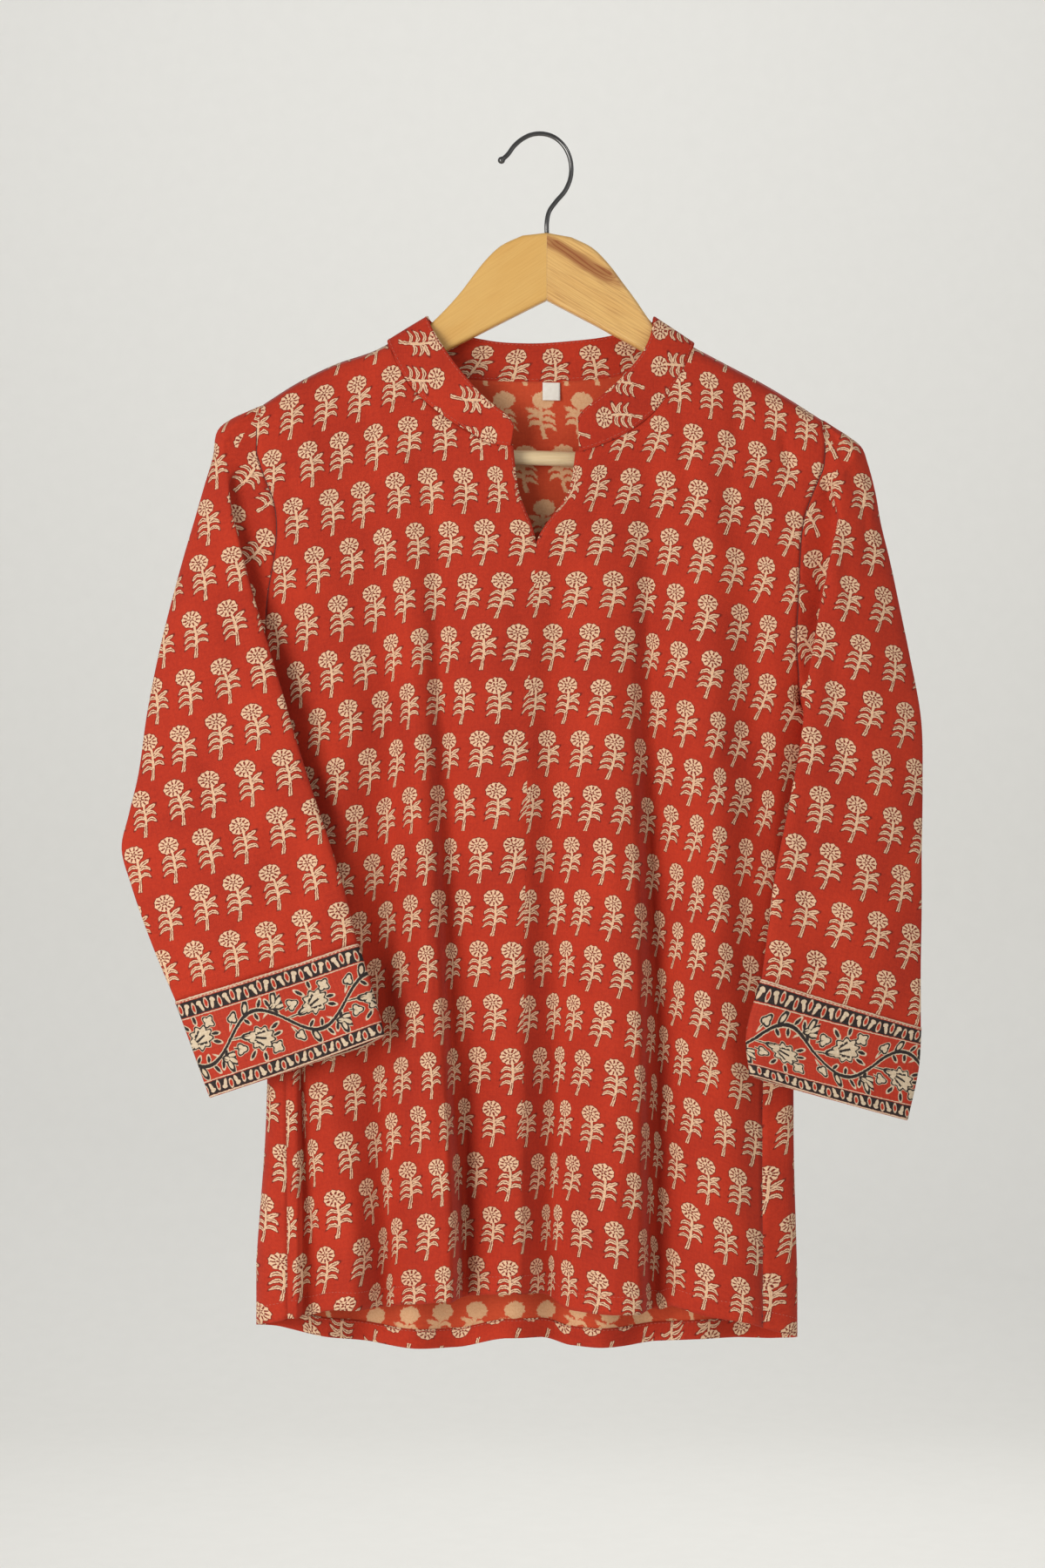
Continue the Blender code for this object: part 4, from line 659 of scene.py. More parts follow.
counts = [panelGrid[name] for name in ("backShoulder", "backNeck", "backShoulder")]
top = backPanel.flat(edgeLine((shoulderRight, neckBack, shoulderLeft), counts))
hem = hemLine(hemBack, backPanel.droop, (sideRight, hemRight, hemBackLeft, sideLeft), counts)
sides = (sideEdge(backPanel, armRight, sideRight, hem[0]),
         sideEdge(backPanel, armLeft, sideLeft, hem[-1]))
backFlat = flatPatch(*sides, top, hem, (sharesDown(sides[0]) + sharesDown(sides[1])) / 2)
backHung = backPanel.hang(backFlat)

# soft troughs and ridges besides the main folds: x, z at each end, width, depth forward, bend
frontCreases = (
    (97, -172, 122, -330, 7, -2.2, 6),
    (120, -180, 152, -320, 8, 1.6, -5),
    (138, -176, 133, -300, 6, -1.5, 3),
    (168, -202, 176, -244, 3.4, -3.4, 1.5),
    (152, -200, 166, -262, 4.5, 1.6, 3),
    (-128, -166, -112, -296, 9, -1.4, -5),
    (-160, -186, -150, -282, 7, 1.4, 4),
    (-96, -196, -66, -330, 8, -1.3, -5),
    (-176, -228, -160, -300, 4.5, -1.8, 2),
    (-62, -230, -30, -300, 6, -1.2, -4),
    (66, -224, 26, -292, 6, -1.3, 4),
    (12, -306, 26, -400, 8, -1.5, 4),
    (-22, -310, -40, -430, 9, 1.2, -4),
    (-176, -396, -120, -440, 7, -2, -6),
    (-172, -420, -126, -492, 9, 1.8, -8),
    (168, -400, 118, -438, 7, -2, 5),
    (166, -424, 118, -500, 8, 1.6, 7),
    (-148, -560, -134, -790, 9, -2.4, -5),
    (-160, -600, -155, -800, 5, 1.8, 3),
    (-96, -520, -92, -700, 8, 1.6, 4),
    (-46, -470, -34, -640, 7, -1.6, -5),
    (2, -520, -2, -700, 8, -1.4, 3),
    (30, -440, 34, -600, 7, -1.3, -4),
    (102, -480, 104, -620, 6, 1.5, 3),
    (128, -560, 122, -740, 8, -1.8, 4),
    (142, -640, 143, -800, 4, -2, 2),
    (-170, -690, -150, -740, 6, -1.2, 5),
    (60, -690, 50, -800, 6, 1.2, 3),
    (-50, -610, -49, -900, 5, -6.5, 2),
    (-61, -630, -60, -900, 6, 2.6, 2),
    (73, -570, 78, -900, 3.8, -8, 1),
    (74, -430, 76, -650, 5, -3, 0.5),
)
backCreases = (
    (-130, -170, -120, -330, 9, 1.6, -6),
    (-60, -180, -96, -300, 8, -1.5, 5),
    (-20, -176, -34, -330, 9, 1.3, 4),
    (30, -178, 44, -300, 8, 1.5, -4),
    (76, -172, 100, -310, 8, -1.8, 5),
    (136, -182, 120, -330, 9, 1.8, 6),
    (-176, -396, -96, -446, 8, 2, -7),
    (-170, -430, -110, -520, 9, -1.8, -8),
    (168, -400, 100, -452, 8, 2, 6),
    (160, -440, 98, -530, 9, -1.6, 8),
    (-90, -520, -98, -780, 9, 2, 6),
    (-20, -500, -6, -760, 10, -1.8, -5),
    (64, -560, 58, -800, 9, 1.8, 4),
    (118, -540, 126, -770, 8, -1.8, 5),
    (-146, -600, -150, -800, 8, -1.6, 4),
)
sleeveRightCreases = (
    (-222, -214, -236, -330, 7, -2, 8),
    (-236, -236, -252, -352, 6, 1.6, 6),
    (-206, -310, -236, -460, 8, -1.8, -8),
    (-258, -396, -206, -452, 9, -2.4, 8),
    (-276, -440, -216, -500, 9, 2, 9),
    (-284, -484, -226, -476, 6, -2.4, -6),
    (-278, -512, -214, -522, 8, -1.6, 6),
    (-180, -420, -196, -560, 8, 1.5, 6),
    (-166, -470, -170, -585, 6, -1.6, -4),
    (-240, -520, -216, -596, 8, -1.4, 5),
)
sleeveLeftCreases = (
    (188, -208, 202, -268, 3.4, -4.5, -1),
    (196, -206, 212, -262, 5, 2.2, -2),
    (214, -226, 226, -330, 6, -2.2, -7),
    (204, -250, 214, -372, 6, 1.8, 6),
    (228, -262, 240, -390, 7, -1.5, -5),
    (200, -330, 222, -470, 8, -1.8, 7),
    (258, -420, 204, -462, 8, -2.4, -7),
    (262, -458, 210, -512, 9, 2, -8),
    (262, -500, 222, -560, 8, -1.8, 7),
    (184, -440, 186, -570, 6, -1.6, 4),
    (240, -520, 236, -610, 8, 1.5, -4),
    (208, -520, 196, -600, 7, -1.4, 5),
)


# a crease fades in and out over these shares of its length, and widens from its first end.
# Cotton that has been worn ripples in many directions besides, a little everywhere.
creasing = {"fade": (0.3, 0.4), "widens": (0.7, 0.6), "edge": 9.0, "shoulder": 40.0,
            "sleeveEdge": 10.0, "sleeveFold": 12.0, "ripples": 16, "rippleLength": (26, 90),
            "rippleTurn": 0.9, "rippleDepth": (520, 0.55)}


def creaseDepth(creases, x, z):
    # how far forward the creases bring each place
    total = np.zeros_like(x)
    (fadeIn, fadeOut), (narrow, widens) = creasing["fade"], creasing["widens"]
    for x0, z0, x1, z1, width, depth, bend in creases:
        run = math.hypot(x1 - x0, z1 - z0)
        ux, uz = (x1 - x0) / run, (z1 - z0) / run
        share = ((x - x0) * ux + (z - z0) * uz) / run
        aside = (x - x0) * uz - (z - z0) * ux - bend * np.sin(math.pi * np.clip(share, 0, 1))
        fade = ease(share / fadeIn) * ease((1 - share) / fadeOut)
        total += depth * fade * np.exp(-(aside / (width * (narrow + widens * share))) ** 2)
    return total


def ripple(x, z, seed):
    draw = np.random.default_rng(seed)
    total = np.zeros_like(x)
    lean, (shallow, strength) = creasing["rippleTurn"], creasing["rippleDepth"]
    for _ in range(creasing["ripples"]):
        length, turn = draw.uniform(*creasing["rippleLength"]), draw.uniform(-lean, lean)
        start = draw.uniform(0, 2 * math.pi)
        place = x * math.cos(turn) + z * math.sin(turn)
        total += np.sin(place * 2 * math.pi / length + start) * length / shallow
    return total * strength


def edgeFade(rows, columns, reach):
    # nothing moves along a panel's sewn sides and top, and little just beside them
    r, c = np.arange(rows)[:, None], np.arange(columns)[None, :]
    return ease(np.minimum(np.minimum(c, columns - 1 - c), np.minimum(rows - 1 - r, rows)) / reach)


def addCreases(hung, creases, seed):
    x, z = hung[:, :, 0], hung[:, :, 2]
    shift = (creaseDepth(creases, x, z) + ripple(x, z, seed)) * edgeFade(*x.shape, creasing["edge"])
    hung[:, :, 1] -= shift * ease((shoulderHeight(x) - z) / creasing["shoulder"])


# below the slit the front's two halves meet in one column
centre = frontHung[:slitAt + 1, centreColumn:centreColumn + 2]
centre[:] = centre.mean(axis=1, keepdims=True)
addCreases(frontHung, frontCreases, 3)
addCreases(backHung, backCreases, 5)
panels = (frontHung, backHung)

# how the seams lie: shares are how far the next columns follow a moved one, and ramps are
# in rows, or in millimetres below and above a height
seams = {"join": (6, 6.0), "joinShares": (1.0, 0.5, 0.18),
         "groove": 0.9, "grooveRows": (4, 6, 8.0),
         "outward": 5.5, "outwardTop": (-395.0, 7.0), "outwardFoot": (-455.0, 40.0),
         "outwardShares": (1.0, 0.85, 0.6, 0.35, 0.15)}
rows = np.arange(len(frontHung))

# below the underarm the two panels share the side seam
start, ramp = seams["join"]
reach = ease((panelGrid["side"] + start - rows) / ramp)[:, None]
for column, inward in ((0, 1), (-1, -1)):
    joined = (frontHung[:, column] + backHung[:, column]) / 2
    for panel in panels:
        shift = (joined - panel[:, column]) * reach
        for beside, share in enumerate(seams["joinShares"]):
            panel[:, column + inward * beside] += shift * share

# the shoulder seams are closed along their whole length
for panel, name, side in ((frontHung, "shoulder", -1.0), (backHung, "backShoulder", 1.0)):
    count = panelGrid[name] + 1
    for seam in (slice(None, count), slice(-count, None)):
        panel[-1, seam, 1] = side * seamGap

# the armhole's seams lie in a narrow groove
lowest, highest, ramp = seams["grooveRows"]
above, below = rows - panelGrid["side"] - lowest, len(rows) - highest - rows
sunk = seams["groove"] * ease(above / ramp) * ease(below / ramp)
for panel, side in zip(panels, (1.0, -1.0)):
    panel[:, [0, -1], 1] += side * sunk[:, None]

# just under the left arm the seam stands out behind the sleeve's inner fold
(topZ, topRamp), (footZ, footRamp) = seams["outwardTop"], seams["outwardFoot"]
for panel in panels:
    z = panel[:, -1, 2]
    outward = seams["outward"] * ease((topZ - z) / topRamp) * ease((z - footZ) / footRamp)
    for beside, share in enumerate(seams["outwardShares"]):
        panel[:, -1 - beside, 0] += outward * share

front = Sheet(frontHung, frontFlat, breaks=(centreColumn,))
front.ids[:slitAt + 1, centreColumn + 1] = front.ids[:slitAt + 1, centreColumn]

# the back's print is mirrored, and its rows lie slightly wider apart than the front's
backRows = {"aside": 3.5, "wider": 0.9758, "raise": -204.2}
backPrint = np.stack([backRows["aside"] - backFlat[:, :, 0],
                      backFlat[:, :, 1] * backRows["wider"] + backRows["raise"]], axis=2)
back = Sheet(backHung, backPrint, flip=True)

# shares of the way over the front of a sleeve and back behind it, and how much of the
# section's own depth is kept there
sleeveRound = {"over": ((0.34, 1.0), (0.70, 0.72)), "behind": ((0.34, 0.8), (0.70, 1.0))}


def ringAt(row, seamFront, seamBack, closed):
    # one section round a sleeve, from its seam over the front and back again
    outer, inner, foot = row[0:3], row[3:6], row[6:9]
    nodes = [seamFront, foot, inner]
    for start, end, depth, shares in ((inner, outer, row[12], "over"),
                                      (outer, seamBack, row[13], "behind")):
        for share, keep in sleeveRound[shares]:
            place = start + (end - start) * share
            nodes.append(np.array([place[0], place[1], outer[2] + (depth - outer[2]) * keep]))
        nodes.append(end)
    curve = through(nodes, sleeveGrid["round"], closed)
    return inSpace(np.concatenate([curve, curve[:1]]) if closed else curve)


def sleeveGridPoints(sections, column):
    # open rings end on the panels' armhole edges, and the rest close behind the inner fold
    edges = [np.stack([line[:, 0], line[:, 2], -line[:, 1]], axis=1)
             for line in (front.points[:, column], back.points[:, column])]
    rows, top = [], len(front.points) - 1
    for number, row in enumerate(sections):
        isOpen = number < sleeveGrid["open"]
        ends = [edge[top - tipRows - number] for edge in edges] if isOpen else [row[9:12]] * 2
        rows.append(ringAt(row, *ends, not isOpen))
    tip = [sheet.points[top - tipRows:, column] for sheet in (front, back)]
    lengths = runLengths(rows[0])
    rows.insert(0, along(np.concatenate([tip[0], tip[1][::-1]]), lengths / lengths[-1]))
    return np.array(rows)


def sleeveSheet(sections, column, creases, seed, flip):
    points = sleeveGridPoints(sections, column)
    x, z = points[:, :, 0], points[:, :, 2]
    rows, columns = np.arange(x.shape[0])[:, None], np.arange(x.shape[1])[None, :]
    fade = ease(np.minimum(columns, x.shape[1] - 1 - columns) / creasing["sleeveEdge"])
    fade = fade * ease((rows - 1) / creasing["sleeveEdge"])
    # what comes forward on the front layer goes back on the one behind
    forward = np.clip((x.shape[1] / 2 - columns) / creasing["sleeveFold"], -1, 1)
    points[:, :, 1] -= forward * fade * (creaseDepth(creases, x, z) + ripple(x, z, seed))
    sheet = Sheet(points, np.zeros(points.shape[:2] + (2,)), flip=flip)
    closed = sleeveGrid["open"] + 1
    sheet.ids[closed:, -1] = sheet.ids[closed:, 0]
    return sheet


rightSleeve = sleeveSheet(sectionsRight, 0, sleeveRightCreases, 11, False)
leftSleeve = sleeveSheet(sectionsLeft, -1, sleeveLeftCreases, 13, True)


def linear(code):
    # an sRGB hex colour as linear light
    parts = [int(code[i:i + 2], 16) / 255 for i in (1, 3, 5)]
    return (*(c / 12.92 if c <= 0.04045 else ((c + 0.055) / 1.055) ** 2.4 for c in parts), 1.0)


def addNode(tree, kind, *inputs, out=0, **settings):
    # one node with its settings and links. The kind may end in its operation or data type, and
    # an operation alone is plain maths. A setting may name a socket or a property, and a hex
    # colour becomes linear light.
    kind, _, way = ("Math " + kind if kind.isupper() else kind).partition(" ")
    node = tree.nodes.new("ShaderNode" + kind)
    if way:
        setattr(node, "data_type" if kind == "Mix" else "operation", way)
    for name in [name for name in settings if name not in node.inputs]:
        setattr(node, name, settings.pop(name))
    sockets = [socket for socket in node.inputs if socket.enabled]
    named = [(node.inputs[name], value) for name, value in settings.items()]
    for socket, value in [*zip(sockets, inputs), *named]:
        if isinstance(value, bpy.types.NodeSocket):
            tree.links.new(value, socket)
        elif value is not None:
            socket.default_value = linear(value) if isinstance(value, str) else value
    outputs = [socket for socket in node.outputs if socket.enabled]
    return outputs[out] if outputs else None


def newMaterial(name):
    # the material, and addNode for its own tree
    made = bpy.data.materials.new(name)
    made.use_nodes = True
    made.node_tree.nodes.clear()
    return made, functools.partial(addNode, made.node_tree)


def finishMaterial(add, colour, roughness, height, heightMm, **fixed):
    # the height is 0 to 1, and stands for so many millimetres
    bump = add("Bump", 1.0, heightMm * mm, Height=height)
    fixed = {name.replace("_", " "): value for name, value in fixed.items()}
    add("OutputMaterial", add("BsdfPrincipled", colour, Roughness=roughness, Normal=bump, **fixed))


def clothPlace(add):
    # the flat place on the cut cloth, in millimetres
    place = add("UVMap", uv_map="cloth")
    return add("VectorMath MULTIPLY", place, (1 / mm, 1 / mm, 0.0))


# plain-weave cotton shirting: matt, with a faint sheen and slubby yarns. Real yarns lie
# 0.3 mm apart, which is too fine to show, so they are drawn three times as coarse.
cottonWeave = {"yarn": 0.9, "slub": (0.75, 0.045), "crossing": 0.35, "bump": 0.10, "roughness": 0.86}


def weaveHeight(add, place):
    # warp passes over weft in turn, with yarns of uneven thickness
    turns = math.pi / cottonWeave["yarn"]
    phase = add("VectorMath MULTIPLY", place, (turns, turns, 0.0))
    across = add("SeparateXYZ", add("VectorMath SINE", phase))
    crossed = add("MULTIPLY", across, across.node.outputs[1])
    long, short = cottonWeave["slub"]
    warp = add("VectorMath MULTIPLY", place, (long, short, 0.0))
    weft = add("VectorMath MULTIPLY", place, (short, long, 7.0))
    slub = add("ADD", *(add("TexNoise", yarn, Scale=1.0, Detail=2.0) for yarn in (warp, weft)))
    height = add("MULTIPLY_ADD", add("MULTIPLY_ADD", crossed, 0.5, 0.5), cottonWeave["crossing"], slub)
    return height, slub


def aroundMiddle(add, place):
    # how far each place lies from the middle of its shape, and at what turn
    across = add("SeparateXYZ", place)
    return add("VectorMath LENGTH", place), add("ARCTAN2", across.node.outputs[1], across)


def unsteady(add, place, spot, scale, reach):
    # a wooden block never leaves a perfectly steady edge
    shake = add("TexNoise", place, out=1, Scale=scale, Detail=3.0, Roughness=0.7)
    shake = add("VectorMath SUBTRACT", shake, (0.5, 0.5, 0.5))
    return add("VectorMath MULTIPLY_ADD", shake, (reach, reach, 0.0), spot)


# how far apart the sprigs are printed, the level of one row's heads, and the room below a head
printRepeat = {"across": 26.2, "down": 36.45, "head": -382.7, "foot": 26.0}

# one sprig of the repeat, in millimetres from the middle of its flower head. A petal is
# its count, where it starts and ends, half its width and its turn. A leaf is x, y, half
# length, half width, before the lift that arches it.
sprig = {"head": (7.3, 5.5), "headAt": 0.7, "size": 6.4, "scallop": 0.04,
         "petals": ((11, 0.47, 0.90, 0.50, 1.57), (5, 0.10, 0.40, 0.42, 0.6)),
         "stem": (10.0, -0.0100, 0.026, 1.7), "stemTop": -4.6, "stemFoot": -25.6, "stemHalf": 0.85,
         "foot": (-18.0, -25.0, 0.45), "core": (0.3, -17.5), "lift": (0.92, -0.112), "blunt": (4.6, 4.3),
         "leaves": ((-4.6, -9.2, 4.2, 1.15), (-5.0, -13.8, 4.6, 1.2), (-4.6, -18.4, 4.1, 1.1),
                    (4.5, -11.2, 3.9, 1.2), (4.4, -16.0, 3.8, 1.15)),
         "topLeaf": ((6.6, -6.4), 20.0, (4.1, 1.25)), "vein": (0.72, 0.3),
         "jitter": 0.9, "lean": 5.0, "shake": 0.42, "wobble": (2.3, 4.83), "turn": 4.0}


def sprigPlace(add, place):
    # where each place lies within its own sprig, and three chance numbers for that sprig.
    # Every other row is set half a repeat aside.
    across = add("SeparateXYZ", place)
    level = add("ADD", across.node.outputs[1], printRepeat["foot"] - printRepeat["head"])
    level = add("DIVIDE", level, printRepeat["down"])
    row = add("FLOOR", level)
    odd = add("FLOORED_MODULO", row, 2.0)
    shifted = add("MULTIPLY_ADD", odd, -0.5, add("DIVIDE", across, printRepeat["across"]))
    column = add("ROUND", shifted)
    u = add("MULTIPLY", add("SUBTRACT", shifted, column), printRepeat["across"])
    v = add("MULTIPLY_ADD", add("SUBTRACT", level, row), printRepeat["down"], -printRepeat["foot"])
    chance = add("TexWhiteNoise", add("CombineXYZ", column, row, 3.0), out=1, noise_dimensions="3D")
    chance = add("VectorMath SUBTRACT", chance, (0.5, 0.5, 0.5))
    reach = 2 * sprig["jitter"]
    moved = add("VectorMath MULTIPLY_ADD", chance, (reach, reach, 0.0), add("CombineXYZ", u, v, 0.0))
    turn = add("MULTIPLY", add("SeparateXYZ", chance, out=2), math.radians(2 * sprig["lean"]))
    return add("VectorRotate", moved, rotation_type="Z_AXIS", Angle=turn), chance


def sprigHead(add, spot, chance, plain):
    (wide, high), size = sprig["head"], sprig["size"]
    scaled = add("VectorMath MULTIPLY_ADD", spot, (1 / wide, 1 / high, 0.0),
                 (0.0, -sprig["headAt"] / high, 0.0))
    far, angle = aroundMiddle(add, scaled)
    # no two heads are cut or inked quite alike
    angle = add("MULTIPLY_ADD", add("SeparateXYZ", chance), sprig["turn"], angle)
    petals = add("MULTIPLY", angle, float(sprig["petals"][0][0]))
    bulge = add("MULTIPLY_ADD", add("COSINE", petals), -sprig["scallop"], far)
    head = add("MULTIPLY_ADD", bulge, size, -size)
    for count, low, top, half, start in () if plain else sprig["petals"]:
        wave = add("ABSOLUTE", add("SINE", add("MULTIPLY_ADD", angle, count / 2, start)))
        aside = add("MULTIPLY_ADD", add("MULTIPLY", wave, far), -2 * size / count, half)
        under = add("MULTIPLY_ADD", far, size, -low * size)
        beyond = add("MULTIPLY_ADD", far, -size, top * size)
        cut = add("MINIMUM", aside, add("MINIMUM", under, beyond))
        head = add("MAXIMUM", head, cut)
    return head


def sprigShape(add, place, plain):
    # how far each place is from the edge of the printed sprig: negative inside it
    spot, chance = sprigPlace(add, place)
    # the edge is less steady on the back, where the colour has bled through
    spot = unsteady(add, place, spot, sprig["shake"], sprig["wobble"][1 if plain else 0])
    head = sprigHead(add, spot, chance, plain)

    # the stem bows to one side, and the leaves arch out from it and droop
    bowAt, curve, slope, start = sprig["stem"]
    across = add("SeparateXYZ", spot)
    height = across.node.outputs[1]
    fallen = add("ADD", height, bowAt)
    centre = add("MULTIPLY_ADD", fallen, add("MULTIPLY_ADD", fallen, curve, slope), start)
    aside = add("SUBTRACT", across, centre)
    apart = add("ABSOLUTE", aside)
    widens, widest, wider = sprig["foot"]
    half = add("MapRange", height, widens, widest, sprig["stemHalf"], sprig["stemHalf"] + wider)
    above = add("SUBTRACT", height, sprig["stemTop"])
    below = add("SUBTRACT", sprig["stemFoot"], height)
    stem = add("MAXIMUM", add("SUBTRACT", apart, half), add("MAXIMUM", above, below))
    if not plain:
        thin, highest = sprig["core"]
        core = add("MINIMUM", add("SUBTRACT", thin, apart), add("SUBTRACT", highest, height))
        stem = add("MAXIMUM", stem, core)
    rise, droop = sprig["lift"]
    lift = add("MULTIPLY", add("MULTIPLY_ADD", apart, droop, rise), apart)
    level = add("SUBTRACT", height, lift)
    # both ends of a leaf are blunt
    middle, reach = sprig["blunt"]
    out = add("MULTIPLY_ADD", apart, 1 / reach, -middle / reach)
    out = add("MULTIPLY_ADD", add("MULTIPLY", out, add("ABSOLUTE", out)), reach, middle)
    out = add("MULTIPLY", out, add("SIGN", aside))
    leafPlace = add("CombineXYZ", out, level, 0.0)
    leaves = [(leafPlace, (x, y, 0.0), 0.0, long, half) for x, y, long, half in sprig["leaves"]]
    (x, y), lean, (long, half) = sprig["topLeaf"]
    leaves.append((spot, (x, y, 0.0), math.radians(lean), long, half))
    shape = add("MINIMUM", head, stem)
    inner, thin = sprig["vein"]
    for source, centre, lean, long, half in leaves:
        near = add("Mapping", source, centre, (0.0, 0.0, lean), (long, half, 1.0), vector_type="TEXTURE")
        edge = add("MULTIPLY_ADD", add("VectorMath LENGTH", near), half, -half)
        if not plain:
            near = add("VectorMath MULTIPLY", near, (1 / inner, half / thin, 0.0))
            vein = add("MULTIPLY_ADD", add("VectorMath LENGTH", near), -thin, thin)
            edge = add("MAXIMUM", edge, vein)
        shape = add("MINIMUM", shape, edge)
    return shape


# how the red dye and the resist take: the size of a fleck is one over its scale, and
# "edge" and "bleed" are how far from a shape's edge the colour changes
dye = {"blotch": 0.016, "speck": 0.42, "resist": 0.7, "mottle": (1.15, 1.85), "bare": (0.42, 0.68),
       "line": (0.25, 0.80, 0.85), "pool": (-0.75, -0.25), "edge": (-0.14, 0.14), "bleed": (-0.05, 0.75),
       "slubShare": 0.35, "blotchShare": 1.3, "inside": (0.6, 0.4), "beside": 0.4}


def makeBlockPrint(name, ground, groundDeep, ink, inkThin, outline, plain):
    # hand block-printed cotton: flat madder red, with the sprigs left pale and a darker edge round them
    made, add = newMaterial(name)
    place = clothPlace(add)
    height, slub = weaveHeight(add, place)
    shape = sprigShape(add, place, plain)
    blotch = add("TexNoise", place, Scale=dye["blotch"], Detail=4.0, Roughness=0.6)
    speck = add("TexNoise", place, Scale=dye["speck"], Detail=3.0, Roughness=0.65)
    mottle = add("MULTIPLY_ADD", blotch, dye["blotchShare"], speck)
    mottle = add("MULTIPLY_ADD", slub, dye["slubShare"], mottle)
    red = add("Mix RGBA", add("MapRange", mottle, *dye["mottle"], 0.0, 1.0), ground, groundDeep)
    near, far, dark = dye["line"]
    edge = add("MapRange", shape, near, far, 0.0 if plain else dark, 0.0)
    red = add("Mix RGBA", edge, red, outline)
    # the resist takes unevenly, so red breaks through the pale parts here and there
    thin = add("TexNoise", place, Scale=dye["resist"], Detail=4.0, Roughness=0.7)
    thin = add("MapRange", thin, *dye["bare"], 0.0, 1.0)
    if not plain:
        # it lies thinner inside a shape than along its edge
        inside = add("MULTIPLY_ADD", thin, *dye["inside"])
        beside = add("MULTIPLY", thin, dye["beside"])
        thin = add("MapRange", shape, *dye["pool"], inside, beside)
    pale = add("Mix RGBA", thin, ink, inkThin)
    # on the back of the cloth the shapes have bled a little wider, with softer edges
    inside = add("MapRange", shape, *dye["bleed" if plain else "edge"], 1.0, 0.0)
    colour = add("Mix RGBA", inside, red, pale)
    finishMaterial(add, colour, cottonWeave["roughness"], height, cottonWeave["bump"], Sheen_Weight=0.06,
                   Sheen_Roughness=0.45, Specular_IOR_Level=0.25, IOR=1.53)
    return made


blockPrint = makeBlockPrint("block_printed_cotton", "#BC341A", "#A12814", "#E9C4A0", "#D09F78",
                            "#5E130B", plain=False)
blockPrintReverse = makeBlockPrint("printed_cotton_reverse", "#CA4C2A", "#B83F22", "#DAAC82",
                                   "#CE986C", "#AA402A", plain=True)

# the border is printed with its own blocks in black and red on the undyed cotton. A row holds
# x, y, turn, half length and half width, from the middle of half a vine wave, then the number
# of lobes and their depth if it has any.
vine = {"half": 42.5, "middle": 35.4, "height": 13.2, "line": 1.1, "slope": 0.86, "rim": 0.6,
        "edge": 1.15, "halo": 0.4, "field": (35.9, 21.8)}
paleShapes = (
    (0.2, -6.2, -22, 7.8, 6.6, 9, 0.15),
    (-8.4, -2.6, -12, 3.2, 1.6),
    (9.4, -15.4, 45, 3.2, 3.2, 4, 0.25),
    (-15.6, -9.3, -10, 2.9, 2.9, 3, 0.28),
    (-15.4, 12.9, 60, 2.8, 2.3, 3, 0.26),
    (-5, 16.6, 70, 2.9, 1.25),
    (15.8, 16.9, 75, 3, 1.2),
    (18.6, 14.4, 40, 3.3, 1.3),
    (18.9, 10.9, 5, 3, 1.15),
    (14.2, 12.4, 20, 2, 1.5),
)
darkShapes = (
    (11.2, -0.8, 25, 2.9, 1.2),
    (11.4, -6.6, 8, 2.7, 1.15),
    (-8.6, -15.4, 45, 2.9, 1.15),
    (-0.4, -18.9, 88, 2.7, 1.2),
    (5.4, 16.9, 58, 2.9, 1.15),
    (10.8, 15.4, 104, 2.6, 1.15),
    (14.9, 8.6, -58, 2.4, 1.05),
    (-6.4, 7.6, -50, 2.5, 1.15),
    (0.9, 9, -78, 2.4, 1.15),
    (-14.8, -1.4, -4, 6.6, 0.5),
    (-18.9, -7.9, -22, 2.6, 0.45),
    (-17.6, 9.6, 60, 2.2, 0.4),
    (11.6, 11.2, 35, 3.2, 0.4),
)
# strokes in the flower: where they start, turn, number, nearest and furthest, half width, margin
flowerVeins = ((-9.6, -2.2), -22.0, 17.0, (6.0, 14.0), 0.72, 1.6)
# each band is its top and bottom, which way up it is printed, and how far it is squeezed
borderBands = {"bands": ((2.6, 13.0, 1.0, 1.0), (58.8, 67.6, -1.0, 0.86)), "period": 20.0,
               "dropRim": 0.55,
               "beans": ((5.6, -0.6, 106.0, 3.9, 1.25), (4.7, 1.9, 25.0, 2.0, 1.6)),
               "drops": ((0.0, -0.7, 90.0, 2.7, 1.0), (10.0, 0.8, 90.0, 2.7, 1.15)),
               "lines": ((0.75, 0.42), (1.75, 0.38), (13.8, 0.32), (58.1, 0.3), (68.2, 0.45)),
               "worn": (1.1, 1.9), "soft": (0.15, 0.12, 0.15)}
borderInks = (("#BC3820", "#A22B18"), ("#DCC9AE", "#C2AA8A"), ("#191514", "#352B28"))


def borderShapes(add, spot, shapes):
    # the nearest edge of all the shapes in a table
    nearest = None
    for x, y, turn, long, wide, *lobed in shapes:
        place = add("Mapping", spot, (x, y, 0.0), (0.0, 0.0, math.radians(turn)), (long, wide, 1.0),
                    vector_type="TEXTURE")
        if lobed:
            lobes, depth = lobed
            far, angle = aroundMiddle(add, place)
            wave = add("COSINE", add("MULTIPLY", angle, float(lobes)))
            far = add("MULTIPLY_ADD", wave, -depth, far)
        else:
            far = add("VectorMath LENGTH", place)
        edge = add("MULTIPLY_ADD", far, wide, -wide)
        nearest = add("MINIMUM", nearest, edge) if nearest else edge
    return nearest


